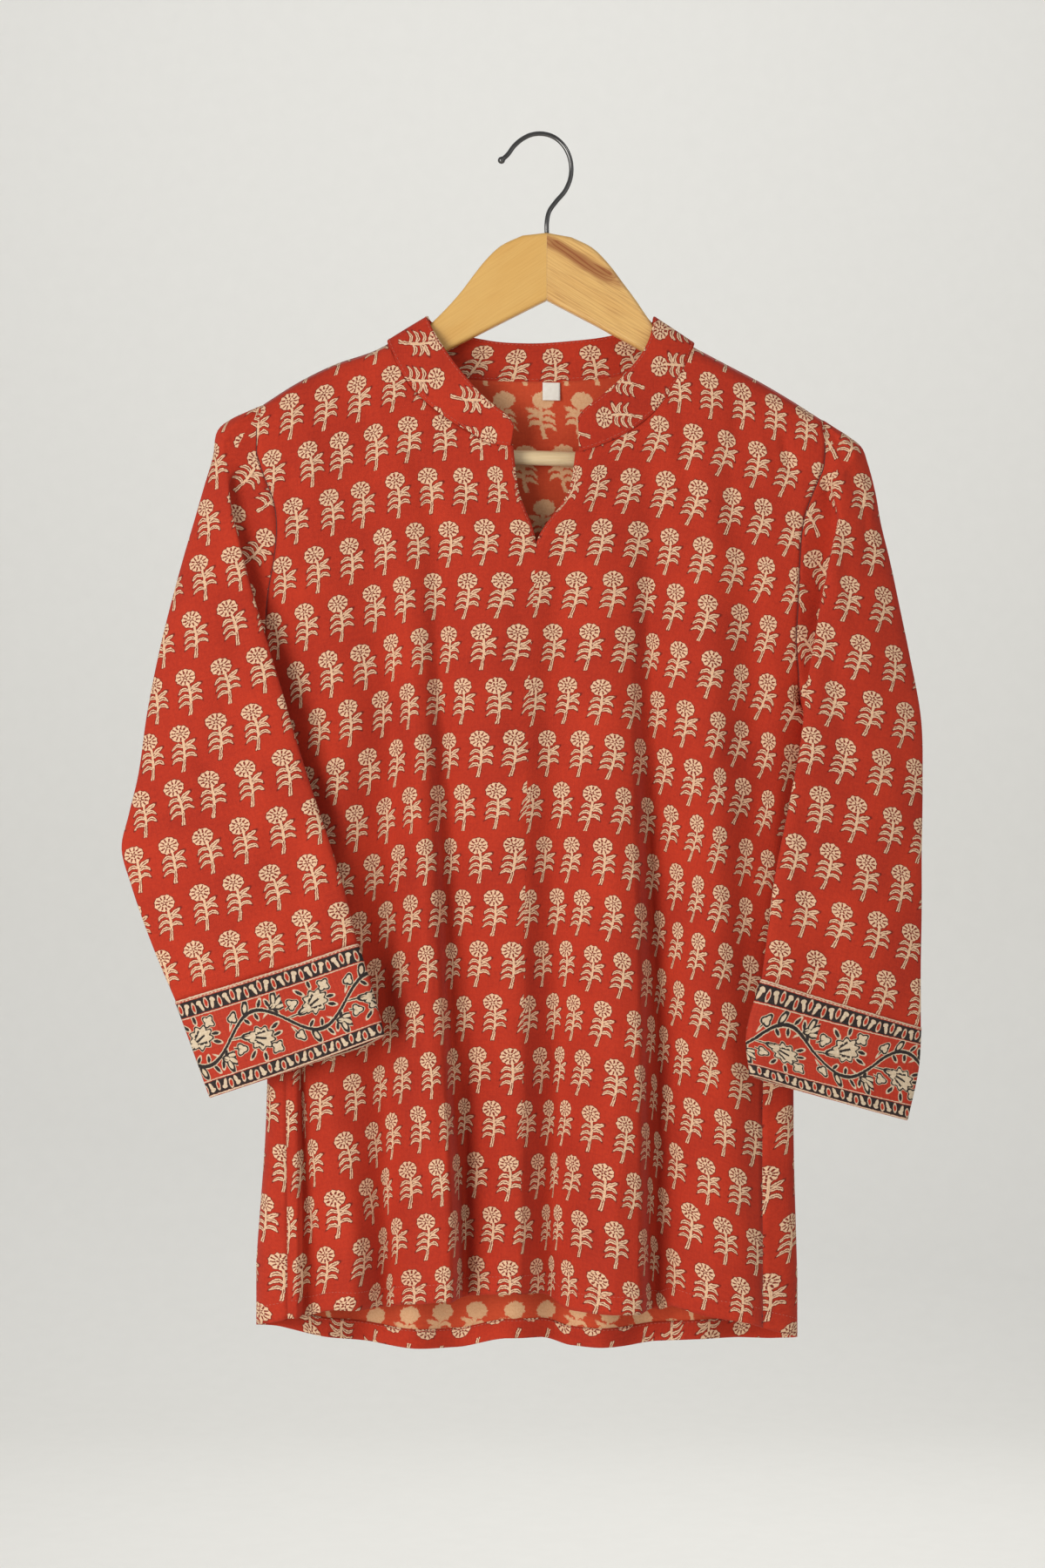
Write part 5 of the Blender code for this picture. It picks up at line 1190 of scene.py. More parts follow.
def flowerStrokes(add, spot):
    # short strokes fan out inside the flower, and stop short of its edge
    (x, y), turn, strokes, (first, last), half, margin = flowerVeins
    place = add("Mapping", spot, (x, y, 0.0), (0.0, 0.0, math.radians(turn)), (1.0, 1.0, 1.0),
                vector_type="TEXTURE")
    far, angle = aroundMiddle(add, place)
    wave = add("ABSOLUTE", add("SINE", add("MULTIPLY", angle, strokes / 2)))
    veins = add("MULTIPLY_ADD", add("MULTIPLY", wave, far), 2 / strokes, -half)
    reach = add("MAXIMUM", add("SUBTRACT", first, far), add("SUBTRACT", far, last))
    veins = add("MAXIMUM", veins, reach)
    return add("MAXIMUM", veins, add("ADD", borderShapes(add, spot, paleShapes[:1]), margin))


def vineField(add, around, down):
    # the dark and the pale shapes of the vine: each half wave mirrors the one before it
    waves = add("DIVIDE", around, vine["half"])
    number = add("ROUND", waves)
    aside = add("MULTIPLY", add("SUBTRACT", waves, number), vine["half"])
    way = add("MULTIPLY_ADD", add("FLOORED_MODULO", number, 2.0), -2.0, 1.0)
    level = add("MULTIPLY", add("SUBTRACT", vine["middle"], down), way)
    spot = add("CombineXYZ", aside, level, 0.0)
    curve = add("COSINE", add("MULTIPLY", aside, math.pi / vine["half"]))
    off = add("ABSOLUTE", add("MULTIPLY_ADD", curve, -vine["height"], level))
    line = add("MULTIPLY_ADD", off, vine["slope"], -vine["line"])
    dark = add("MINIMUM", borderShapes(add, spot, darkShapes), line)
    pale = borderShapes(add, spot, paleShapes)
    rim = add("SUBTRACT", dark, vine["rim"])
    # every pale shape is drawn round in black
    ring = add("SUBTRACT", pale, vine["edge"])
    ring = add("MAXIMUM", ring, add("MULTIPLY", pale, -1.0))
    dark = add("MINIMUM", dark, add("MINIMUM", ring, flowerStrokes(add, spot)))
    halo = add("SUBTRACT", pale, vine["edge"] + vine["halo"])
    pale = add("MINIMUM", halo, rim)
    middle, half = vine["field"]
    field = add("SUBTRACT", add("ABSOLUTE", add("SUBTRACT", down, middle)), half)
    return [add("MAXIMUM", shape, field) for shape in (dark, pale)]


def makeBorderPrint(name):
    # a doubled cotton band block-printed with a vine between two rows of beans
    made, add = newMaterial(name)
    place = clothPlace(add)
    height, slub = weaveHeight(add, place)
    around = add("SeparateXYZ", unsteady(add, place, place, 0.5, 1.3))
    down = add("MULTIPLY", around.node.outputs[1], -1.0)
    dark, pale = vineField(add, around, down)

    # each band is black, with hooked pale beans in pairs and red drops between them
    beat = add("PINGPONG", around, borderBands["period"] / 2)
    drops = None
    for top, bottom, mirror, squeeze in borderBands["bands"]:
        rise = add("MULTIPLY", add("SUBTRACT", (top + bottom) / 2, down), mirror)
        inBand = add("SUBTRACT", add("ABSOLUTE", rise), (bottom - top) / 2)
        dark = add("MINIMUM", dark, inBand)
        spot = add("CombineXYZ", beat, add("DIVIDE", rise, squeeze), 0.0)
        for kind in ("beans", "drops"):
            near = borderShapes(add, spot, borderBands[kind])
            if kind == "drops":
                drops = add("MINIMUM", drops, near) if drops else near
                near = add("SUBTRACT", near, borderBands["dropRim"])
            pale = add("MINIMUM", pale, near)
            dark = add("MAXIMUM", dark, add("MULTIPLY", near, -1.0))
    for level, half in borderBands["lines"]:
        line = add("SUBTRACT", add("ABSOLUTE", add("SUBTRACT", down, level)), half)
        pale = add("MINIMUM", pale, line)

    speck = add("TexNoise", place, Scale=0.6, Detail=4.0, Roughness=0.7)
    worn = add("MapRange", add("ADD", speck, slub), *borderBands["worn"], 0.0, 1.0)
    red, bare, black = (add("Mix RGBA", worn, *tones) for tones in borderInks)
    colour = red
    for shape, ink, soft in zip((pale, drops, dark), (bare, red, black), borderBands["soft"]):
        colour = add("Mix RGBA", add("MapRange", shape, -soft, soft, 1.0, 0.0), colour, ink)
    finishMaterial(add, colour, 0.84, height, cottonWeave["bump"], Sheen_Weight=0.06,
                   Sheen_Roughness=0.45, Specular_IOR_Level=0.28, IOR=1.53)
    return made


borderPrint = makeBorderPrint("border_printed_cotton")


def makeFlecked(name, scale, detail, tones, roughness, heightMm, **fixed):
    # two close tones in fine flecks that lift the surface a little
    made, add = newMaterial(name)
    fleck = add("TexNoise", add("TexCoord", out=3), Scale=scale, Detail=detail)
    if isinstance(roughness, tuple):
        roughness = add("MapRange", fleck, 0.3, 0.7, *roughness)
    finishMaterial(add, add("Mix RGBA", fleck, *tones), roughness, fleck, heightMm, **fixed)
    return made


# spun cotton sewing thread: matt, with the twist of its plies. The near-black seam tone is not a thread's
# own colour but painted shade of the groove the armhole seam lies in
threadTones = {"red_cotton_thread": ("#C9573F", "#A8402C"), "pale_cotton_thread": ("#D9C4A4", "#B99F7E"),
               "seam_groove_painted_shade": ("#5E140B", "#3A0B06")}
redThread, paleThread, seamGrooveShade = (
    makeFlecked(name, 1400.0, 2.0, tones, 0.7, 0.05, Sheen_Weight=0.15, IOR=1.53)
    for name, tones in threadTones.items())
# chromed steel wire: a mirror with a faint draw mark along it, dulled by handling. Its two tones are much
# darker than chrome's own: a painted reflection of a dark room
chromedWire = makeFlecked("chromed_steel_wire", 160.0, 4.0, ("#737270", "#515050"), (0.1, 0.2), 0.01,
                          Metallic=1.0)
# matt painted board, for the floor and the wall behind
paleBackdrop = makeFlecked("pale_backdrop", 30.0, 4.0, ("#E9E8E4", "#E5E4E0"), 0.9, 0.1)


def makeLabelTape(name):
    # woven polyester tape: smooth and slightly glossy, with fine ribs drawn 0.7 mm apart
    made, add = newMaterial(name)
    place = clothPlace(add)
    down = add("SeparateXYZ", place, out=1)
    ribs = add("MULTIPLY_ADD", add("SINE", add("MULTIPLY", down, 9.0)), 0.5, 0.5)
    soil = add("TexNoise", place, Scale=0.3, Detail=3.0)
    finishMaterial(add, add("Mix RGBA", soil, "#ECE7DD", "#D8D0C2"), 0.55, ribs, 0.05, Sheen_Weight=0.1)
    return made


labelTape = makeLabelTape("woven_label_tape")

# lacquered pine: fine soft growth lines run along each arm, under a thin clear gloss. "line"
# is their spacing, and "drift" how slowly and how far they wander.
pine = {"line": 2.3, "drift": ((0.010, 0.03, 0.045), 9.0), "fibre": (0.05, 1.5, 1.5),
        "gloss": (0.37, 0.50), "patch": (2.2, 0.45), "knotEdge": (0.4, 1.05), "knotShake": 1.3,
        "knotDark": (0.7, 0.72), "streak": (0.45, 0.75), "bump": 0.06}


def makePine(name, lean, pale, band, deep, contrast, knot=None):
    made, add = newMaterial(name)
    place = add("VectorMath MULTIPLY", add("TexCoord", out=3), (1 / mm,) * 3)
    board = add("VectorRotate", place, rotation_type="Y_AXIS", Angle=math.radians(lean))
    slowness, wander = pine["drift"]
    slow = add("VectorMath MULTIPLY", board, slowness)
    drift = add("TexNoise", slow, Scale=1.0, Detail=2.0)
    across = add("MULTIPLY_ADD", drift, wander, add("SeparateXYZ", board, out=2))
    shade = None
    if knot:
        # the grain swells round a knot and turns dark and orange beside it
        (x, z), (long, wide), push = knot
        away = add("VectorMath SUBTRACT", board, (x, 0.0, z))
        away = add("VectorMath MULTIPLY", away, (1 / long, 0.0, 1 / wide))
        shake = pine["knotShake"]
        uneven = add("VectorMath MULTIPLY_ADD", add("TexNoise", slow, out=1, Scale=3.0),
                     (shake, 0.0, shake), away)
        far = add("VectorMath LENGTH", add("VectorMath SUBTRACT", uneven, (shake / 2, 0.0, shake / 2)))
        shade = add("MapRange", far, *pine["knotEdge"], 1.0, 0.0, interpolation_type="SMOOTHSTEP")
        across = add("MULTIPLY_ADD", shade, push, across)
    rings = add("SINE", add("MULTIPLY", across, 2 * math.pi / pine["line"]))
    rings = add("MapRange", rings, -0.2, 1.0, 0.0, contrast, interpolation_type="SMOOTHSTEP")
    scale, strength = pine["patch"]
    patches = add("MapRange", add("TexNoise", slow, Scale=scale, Detail=2.0), 0.4, 0.7, 0.0, strength)
    fibre = add("VectorMath MULTIPLY", board, pine["fibre"])
    fibre = add("TexNoise", fibre, Scale=1.0, Detail=3.0, Roughness=0.6)
    tone = add("Mix RGBA", add("ADD", rings, patches), pale, band)
    if shade:
        dark = add("MULTIPLY", add("MULTIPLY_ADD", rings, *pine["knotDark"]), shade)
        tone = add("Mix RGBA", dark, tone, deep)
    streak = add("MapRange", fibre, *pine["streak"], 0.0, contrast + 0.1)
    gloss = add("MapRange", fibre, 0.3, 0.7, *pine["gloss"])
    finishMaterial(add, add("Mix RGBA", streak, tone, deep), gloss, fibre, pine["bump"], IOR=1.5,
                   Coat_Weight=0.25, Coat_Roughness=0.22)
    return made


pineRight = makePine("lacquered_pine", 33.0, "#DBAD60", "#D29C4C", "#BC7F36", 0.15)
knot = ((64.0, -60.0), (52.0, 6.0), 7.0)
pineLeft = makePine("lacquered_pine_knotted", -31.0, "#E2B56C", "#D19C55", "#8C4512", 0.34, knot)
beechDowel = makePine("beech_dowel", 0.0, "#E2C9A0", "#D5B98A", "#B3946A", 0.3)
print("materials made")

# how each sleeve is printed: where one flower head is, which way the columns and rows of
# sprigs run there, which way the cloth goes round, and the head and lean in the strip of
# cloth between the armhole and the fold over it
sleevePrints = {
    "right": ((-205.3, -479.2), (0.963, 0.269), (-0.24, 0.971), -1, (-190.3, -280.1), 40),
    "left": ((216.8, -465.0), (0.959, -0.284), (0.147, 0.989), 1, (189.3, -294.7), -35),
}
foldColumns = np.cumsum(sleeveGrid["round"])  # the columns at the section's nodes


def slantedPrint(points, anchor, across, upward, direction, middle):
    # places along one slanted pair of axes, with the true length round the sleeve from a column
    x, z = points[:, :, 0] - anchor[0], points[:, :, 2] - anchor[1]
    cross = across[0] * upward[1] - across[1] * upward[0]
    level = (x * upward[1] - z * upward[0]) / cross
    up = (across[0] * z - across[1] * x) / cross
    length = np.linalg.norm(np.diff(points, axis=1), axis=2)
    run = np.sqrt(np.maximum(length**2 - np.diff(up, axis=1)**2, 0.0))
    total = np.insert(np.cumsum(run, axis=1), 0, 0.0, axis=1)
    column = slice(middle, middle + 1)
    level = level[:, column] + direction * (total - total[:, column])
    return np.stack([level, up + printRepeat["head"]], axis=2)


def turnedPrint(points, head, ux, uz, wider=1.0):
    # places from one flower head, for sprigs that point along ux, uz
    x, z = points[:, :, 0] - head[0], points[:, :, 2] - head[1]
    return np.stack([(x * uz - z * ux) * wider, x * ux + z * uz + printRepeat["head"]], axis=2)


def sleevePrint(sheet, anchor, across, upward, direction, head, lean):
    points, outer = sheet.points, foldColumns[4]
    axes = (anchor, across, upward, direction)
    flat = slantedPrint(points, *axes, foldColumns[2] + 7)
    # the back layer's print is the front's, mirrored in the line of the outer fold
    top, end = points[2, outer], points[-1, outer]
    line = (end - top) / np.linalg.norm(end - top)
    mirrored = 2 * (top + ((points - top) @ line)[:, :, None] * line) - points
    mirrored[:, :, 1] = points[:, :, 1]
    flat[:, outer + 1:] = slantedPrint(mirrored, *axes, foldColumns[5] + 7)[:, outer + 1:]
    # the strip beside the armhole turns with the sleeve's cap
    lean = math.radians(lean)
    strip = foldColumns[0] + 1
    flat[:, :strip] = turnedPrint(points, head, math.sin(lean), math.cos(lean))[:, :strip]
    sheet.flat, sheet.cuts = flat, (strip - 1, outer)


sleevePrint(rightSleeve, *sleevePrints["right"])
sleevePrint(leftSleeve, *sleevePrints["left"])

clothThickness = 0.55
cottonFaces = (blockPrint, blockPrintReverse)
frontPiece = addCloth("front_panel", front, clothThickness, cottonFaces, "front")
backPiece = addCloth("back_panel", back, clothThickness, cottonFaces, "back")
rightSleevePiece = addCloth("right_sleeve", rightSleeve, clothThickness, cottonFaces, "sleeve_right")
leftSleevePiece = addCloth("left_sleeve", leftSleeve, clothThickness, cottonFaces, "sleeve_left")
print("panels and sleeves made")


def spread(total, step, rounding):
    # even steps along a band, with close ones at both ends where its edge is rounded
    near = [rounding * share for share in (0.0, 0.12, 0.45, 1.0)]
    count = max(2, round((total - 2 * near[-1]) / step))
    inner = np.linspace(near[-1], total - near[-1], count + 1)[1:-1]
    return np.array([*near, *inner, *(total - place for place in near[::-1])])


# "behind" parts a cuff's front layer from the one at the back
cuffSize = {"thickness": 1.7, "rounding": 0.8, "width": 69.0, "step": 2.4, "behind": -24.0}
farOff = 900.0  # keeps the points of the wrong layer out of a search for the nearest


def addCuff(name, table, node, direction, crest):
    # a doubled band: a row is a section round the sleeve's end
    fine = through(np.array(table), (20, 20))
    place = spread(cuffSize["width"], cuffSize["step"], cuffSize["rounding"])
    rows = readOff(place / cuffSize["width"] * (len(fine) - 1), np.arange(len(fine)), fine)
    points = np.array([ringAt(row, row[9:12], row[9:12], True) for row in rows])
    around = runLengths(points, axis=1) * direction
    down = np.broadcast_to(place[:, None], around.shape)
    # one crest of the vine lies at a set place on the front layer
    off = np.hypot(points[:, :, 0] - crest[0], points[:, :, 2] - crest[1])
    off = off + (points[:, :, 1] > cuffSize["behind"]) * farOff
    nearest = np.unravel_index(np.argmin(off), off.shape)
    sheet = Sheet(points, np.stack([around - around[nearest], -down], axis=2), flip=direction > 0)
    sheet.ids[:, -1] = sheet.ids[:, 0]
    distance = np.minimum(down, cuffSize["width"] - down)
    return sheet, addBand(name, sheet, cuffSize, distance, (borderPrint,), node)


rightCuff, rightCuffPiece = addCuff("right_cuff", cuffRight, "cuff_right", -1, (-194.9, -608.8))
leftCuff, leftCuffPiece = addCuff("left_cuff", cuffLeft, "cuff_left", 1, (171.4, -611.6))

# flower heads stand "headUp" below the free edge, and inside the back one lies at "backMark"
collarSize = {"thickness": 1.8, "rounding": 0.85, "overlap": 0.8, "bow": 0.8, "step": 2.8,
              "rise": (0.11, 0.045), "headUp": 11.0, "backMark": 9.7, "backFrom": 6.0}
# a flower head's x, z on each side of the front, which way the sprigs point, and their spacing
collarPrints = (((-72.4, -170.1), -0.02, 26.0), ((83.2, -161.5), math.pi - 0.03, 24.8))


def collarSheet():
    # rows run up the band from its seam, columns round the neck
    fine = evenly(np.array(collar), 6)
    seam, free = inSpace(fine[:, :3]), inSpace(fine[:, 3:])
    length = runLengths((seam + free) / 2)
    places = spread(length[-1], collarSize["step"], collarSize["rounding"])
    seam, free = (readOff(places, length, edge) for edge in (seam, free))
    width = np.linalg.norm(free - seam, axis=1)[:, None]
    seam = seam - (free - seam) / width * collarSize["overlap"]
    widths = np.linalg.norm(free - seam, axis=1)
    rise = spread(1.0, *collarSize["rise"])
    points = seam + (free - seam) * rise[:, None, None]
    points[:, :, 1] -= (collarSize["bow"] * (seam[:, 1] < 0)) * np.sin(math.pi * rise)[:, None]
    ends = np.minimum(places, places[-1] - places)
    up = rise[:, None] * widths
    distance = np.minimum(np.minimum(up, widths - up), ends)
    # at the back the sprigs stand up from the seam, and the shaped fronts turn them on their sides
    around = np.broadcast_to(places, points.shape[:2])
    level = printRepeat["head"] + collarSize["headUp"] - (1 - rise)[:, None] * widths
    outer = np.stack([-around, level], axis=2)
    for head, turn, repeat in collarPrints:
        turned = turnedPrint(points, head, math.cos(turn), math.sin(turn), printRepeat["across"] / repeat)
        onFront = (seam[:, 1] < 0) & (seam[:, 0] * head[0] > 0)
        outer[:, onFront] = turned[:, onFront]
    off = np.abs(free[:, 0] - collarSize["backMark"]) + farOff * (free[:, 1] < collarSize["backFrom"])
    inner = np.stack([around - places[np.argmin(off)], level], axis=2)
    sheet = Sheet(points, outer, flip=True)
    sheet.cuts = tuple(np.flatnonzero(np.diff(np.sign(seam[:, 1]))))
    return sheet, distance, inner


collarBand, collarDistance, collarInside = collarSheet()
collarPiece = addBand("collar_band", collarBand, collarSize, collarDistance, (blockPrint, blockPrint),
                      "collar", collarInside)


# how far inside the panel a turning lies, how soon it gets there, and how far in its rows are
turning = {"inside": 0.75, "within": 1.4, "hem": (0.0, 0.5, 1.2, 3.0, 6.0, 9.0, 12.0, 13.5),
           "facing": (0.0, 0.5, 1.2, 3.0, 5.0, 7.0)}


def addTurning(name, node, sheet, rows, columns, distances, way, fold, flip):
    # a turning inside a panel along one of its edges: "way" is the grid step away from the
    # edge, and "fold" the way that its flat cloth carries on beyond the edge
    here, _ = sheet.at(rows, columns)
    beside, _ = sheet.at(rows + way[0], columns + way[1])
    spacing = np.maximum(np.linalg.norm(beside - here, axis=1), 0.5)
    last = sheet.flat.shape[1] - 1
    edge = sheet.flat[np.round(rows).astype(int), np.clip(np.round(columns).astype(int), 0, last)]
    points, flats = [], []
    for distance in distances:
        share = distance / spacing
        place, facing = sheet.at(rows + way[0] * share, columns + way[1] * share)
        points.append(place - facing * turning["inside"] * float(ease(distance / turning["within"])))
        flats.append(edge + np.array(fold) * distance)
    points, flats = np.array(points), np.array(flats)
    if way[1]:
        points, flats = points.transpose(1, 0, 2), flats.transpose(1, 0, 2)
    addCloth(name, Sheet(points, flats, flip=flip), clothThickness, cottonFaces, node)


for label, sheet, doubled, flip in (("front", front, centreColumn + 1, True),
                                    ("back", back, None, False)):
    columns = np.array([c for c in range(sheet.points.shape[1]) if c != doubled], dtype=float)
    columns[0], columns[-1] = 0.5, sheet.points.shape[1] - 1.5
    addTurning(label + "_hem_turning", label + "_hem", sheet, np.zeros(len(columns)), columns,
               turning["hem"], (1, 0), (0.0, -1.0), flip)
slitRows = np.arange(slitAt, front.points.shape[0] - 1, dtype=float)
for label, column, way in (("right", centreColumn, -1), ("left", centreColumn + 1, 1)):
    addTurning(label + "_slit_turning", "slit_facing_" + label, front, slitRows,
               np.full(len(slitRows), float(column)), turning["facing"], (0, way), (-way, 0.0), way > 0)
print("bands and turnings made")

# "behind" and "front" are how far in front of the back panel the tape's two layers hang
labelSize = {"left": 1.9, "right": 14.1, "top": -170.0, "fold": -182.3, "thickness": 0.35,
             "behind": 0.75, "front": 1.55, "curl": 1.2, "bend": (1.02, 1.3), "lean": 0.025,
             "cup": (0.25, 3.2), "row": 0.9}


def addSizeLabel():
    # a blank woven tape, folded in half, its ends caught in the collar's seam
    x = np.linspace(labelSize["left"], labelSize["right"], 9)
    share = np.linspace(0, 1, 15)
    aside, top = x - x.mean(), labelSize["top"]
    low, out = labelSize["bend"]
    cup, cupWidth = labelSize["cup"]
    ahead = [(s, labelSize["front"] + labelSize["curl"] * s**3) for s in share]
    behind = [(s, labelSize["behind"] + labelSize["curl"] * s**3) for s in share[::-1]]
    rows = []
    for down, forward in [*ahead, (low, labelSize["behind"] + out), *behind]:
        z = top + (labelSize["fold"] - top) * down - labelSize["lean"] * aside
        hung = backPanel.hang(backPanel.flat(np.stack([x, z], axis=1)))
        hung[:, 1] -= forward + cup * np.cos(aside / cupWidth) * down
        rows.append(hung)
    points = np.array(rows)
    down = np.arange(len(points))[:, None] * labelSize["row"] + np.zeros(len(x))
    flat = np.stack([np.broadcast_to(x, down.shape), down], axis=2)
    return addCloth("size_label_tape", Sheet(points, flat, flip=True), labelSize["thickness"],
                    (labelTape,), "size_label")


sizeLabelPiece = addSizeLabel()

hangerSize = {"thickness": 11.0, "edge": 3.0, "segments": 6, "mitre": 4.8, "gap": 0.05, "sharp": 60}


def addBoard(name, outline, mitreX, finish, node):
    # a flat board with rounded edges, cut square where the two arms meet
    ring = [(mitreX, mitreTop), *evenly(np.array(outline), 4), (mitreX, mitreBottom)]
    half = hangerSize["thickness"] / 2 * mm
    shape = bmesh.new()
    face = shape.faces.new([shape.verts.new((x * mm, -half, z * mm)) for x, z in ring])
    grown = bmesh.ops.extrude_face_region(shape, geom=[face])
    moved = [item for item in grown["geom"] if isinstance(item, bmesh.types.BMVert)]
    bmesh.ops.translate(shape, verts=moved, vec=(0.0, 2 * half, 0.0))
    bmesh.ops.recalc_face_normals(shape, faces=shape.faces)
    mesh = bpy.data.meshes.new(name)
    shape.to_mesh(mesh)
    shape.free()
    mesh.materials.append(finish)
    # the long edges are rounded, but not where the arms meet
    weights = mesh.attributes.new("bevel_weight_edge", "FLOAT", "EDGE")
    same = 1e-6
    for edge, weight in zip(mesh.edges, weights.data):
        ends = [mesh.vertices[number].co for number in edge.vertices]
        meets = all(abs(end.x - mitreX * mm) < same for end in ends)
        weight.value = float(abs(ends[0].y - ends[1].y) < same and not meets)
    board = addObject(name, mesh)
    rounded = board.modifiers.new("rounded edges", "BEVEL")
    rounded.width = hangerSize["edge"] * mm
    rounded.segments = hangerSize["segments"]
    rounded.limit_method = "WEIGHT"
    mesh.polygons.foreach_set("use_smooth", [True] * len(mesh.polygons))
    mesh.set_sharp_from_angle(angle=math.radians(hangerSize["sharp"]))
    joinPiece(board, node)


addBoard("hanger_right_arm", hangerRight, hangerSize["mitre"] - hangerSize["gap"], pineRight,
         "hanger_right")
addBoard("hanger_left_arm", hangerLeft, hangerSize["mitre"] + hangerSize["gap"], pineLeft, "hanger_left")
bpy.data.objects["hanger_bar"].material_slots[0].material = beechDowel


def addTube(name, path, radii, sides, finish, node=None):
    # rings of points round a path
    run = np.gradient(path, axis=0)
    run /= np.linalg.norm(run, axis=1)[:, None]
    side = np.cross(run, (0.0, 1.0, 0.0) if abs(run[0, 1]) < 0.8 else (0.0, 0.0, 1.0))
    side /= np.linalg.norm(side, axis=1)[:, None]
    other = np.cross(run, side)
    turn = np.linspace(0, 2 * math.pi, sides, endpoint=False)[None, :, None]
    radii = np.broadcast_to(radii, len(path))[:, None, None]
    rings = path[:, None] + (side[:, None] * np.cos(turn) + other[:, None] * np.sin(turn)) * radii
    ids = np.arange(len(path) * sides).reshape(-1, sides)
    after = np.roll(ids, -1, axis=1)
    quads = np.stack([ids[:-1], ids[1:], after[1:], after[:-1]], axis=2).reshape(-1, 4)
    joinPiece(makeMesh(name, rings.reshape(-1, 3), quads, (finish,)), node)


hookSize = {"radius": 1.65, "tip": 2.6, "reach": 1.4, "tipShares": (0.0, 0.06, 0.25, 0.6), "least": 0.02,
            "sides": 20}


def addHook():
    # one length of wire that ends in a small round bulb
    line = evenly(np.array(hook), 8)
    path = np.stack([line[:, 0], np.zeros(len(line)), line[:, 1]], axis=1)
    start = path[0] + (path[0] - path[1]) / np.linalg.norm(path[0] - path[1]) * hookSize["reach"]
    path = np.concatenate([[start + (path[0] - start) * share for share in hookSize["tipShares"]], path])
    away, tip = np.linalg.norm(path - path[0], axis=1), hookSize["tip"]
    bulb = np.sqrt(np.maximum(tip**2 - (away - tip)**2, 0.0))
    radii = np.where(away < tip, bulb, np.maximum(bulb, hookSize["radius"]))
    addTube("hook_wire", path, np.maximum(radii, hookSize["least"]), hookSize["sides"], chromedWire,
            "hook")


addHook()
print("hanger made")

# a stitch is a short tapered length of thread: its radius and height at five places
stitch = {"long": 2.2, "gap": 0.65, "radius": 0.27, "swell": (0.25, 0.85, 1.0, 0.85, 0.25),
          "proud": (-0.16, 0.1, 0.17, 0.1, -0.16), "sides": 6}


def addStitches(name, path, facing, finish):
    # a row of running stitches along a path, each one lying on the face it is sewn through
    length = runLengths(path)
    step = stitch["long"] + stitch["gap"]
    starts = np.arange(step / 2, length[-1] - step, step)
    places = starts[:, None] + np.linspace(0, 1, len(stitch["swell"])) * stitch["long"]
    centre, out = readOff(places, length, path), readOff(places, length, facing)
    out /= np.linalg.norm(out, axis=2)[:, :, None]
    run = centre[:, -1:] - centre[:, :1]
    side = np.cross(out, run / np.linalg.norm(run, axis=2)[:, :, None])
    centre = centre + out * np.array(stitch["proud"])[:, None]
    radius = stitch["radius"] * np.array(stitch["swell"])[:, None, None]
    turn = np.linspace(0, 2 * math.pi, stitch["sides"], endpoint=False)[:, None]
    around = side[:, :, None] * np.cos(turn) + out[:, :, None] * np.sin(turn)
    rings = centre[:, :, None] + around * radius
    ids = np.arange(rings[..., 0].size).reshape(rings.shape[:3])
    after = np.roll(ids, -1, axis=2)
    quads = np.stack([ids[:, :-1], after[:, :-1], after[:, 1:], ids[:, 1:]], axis=3).reshape(-1, 4)
    joinPiece(makeMesh(name, rings.reshape(-1, 3), quads, (finish,)))


def rowInset(sheet, distance, last=False):
    # grid places a set distance in from the first or last row, for every column
    points = sheet.points[::-1] if last else sheet.points
    rows = np.array([np.interp(distance, column, np.arange(len(points)))
                     for column in runLengths(points).T])
    return (len(points) - 1 - rows if last else rows), np.arange(points.shape[1], dtype=float)


def stitchRow(name, sheet, rows, columns, away):
    # "away" is how far the stitched face is from the sheet's middle, and less than 0 inside
    place, facing = sheet.at(rows, columns)
    addStitches(name, place + facing * away, facing * np.sign(away), redThread)


# how far each row of stitches is from its edge
stitchRows = {"hem": 12.4, "cuff": 1.7, "seam": 2.2, "edge": 1.6, "slit": 1.5}
clothFace = clothThickness / 2
insideFace = -clothFace - clothThickness - turning["inside"]
for label, sheet, faces in (("front", front, {"": clothFace}),
                            ("back", back, {"": clothFace, "_inside": insideFace})):
    hemRows, every = rowInset(sheet, stitchRows["hem"])
    columns = np.arange(0.5, sheet.points.shape[1] - 1)
    if sheet is front:
        columns = columns[np.abs(columns - centreColumn - 0.5) > 0.1]
    for face, away in faces.items():
        stitchRow(label + "_hem_stitches" + face, sheet, np.interp(columns, every, hemRows), columns,
                  away)
for band, label in ((rightCuff, "right"), (leftCuff, "left")):
    stitchRow(label + "_cuff_stitches", band, *rowInset(band, stitchRows["cuff"]),
              cuffSize["thickness"] / 2)
for last, label in ((False, "seam"), (True, "edge")):
    rows, columns = (part[2:-2] for part in rowInset(collarBand, stitchRows[label], last))
    for face, side in (("", 1), ("_inside", -1)):
        stitchRow("collar_" + label + "_stitches" + face, collarBand, rows, columns,
                  side * collarSize["thickness"] / 2)
for column, inward, label in ((centreColumn, -1, "right"), (centreColumn + 1, 1, "left")):
    rows = np.arange(slitAt, front.points.shape[0] - 2, dtype=float)
    apart = np.linalg.norm(front.points[slitAt:-2, column + inward] - front.points[slitAt:-2, column],
                           axis=1)
    beside = np.minimum(stitchRows["slit"] / np.maximum(apart, 0.5), 2.9)
    stitchRow(label + "_slit_stitches", front, rows, column + inward * beside, clothFace)

# the near-black tube that paints the shade in each armhole seam's groove
seamShadeSize = {"radius": 0.42, "proud": 0.1, "sides": 6, "lowest": 4, "highest": 7}


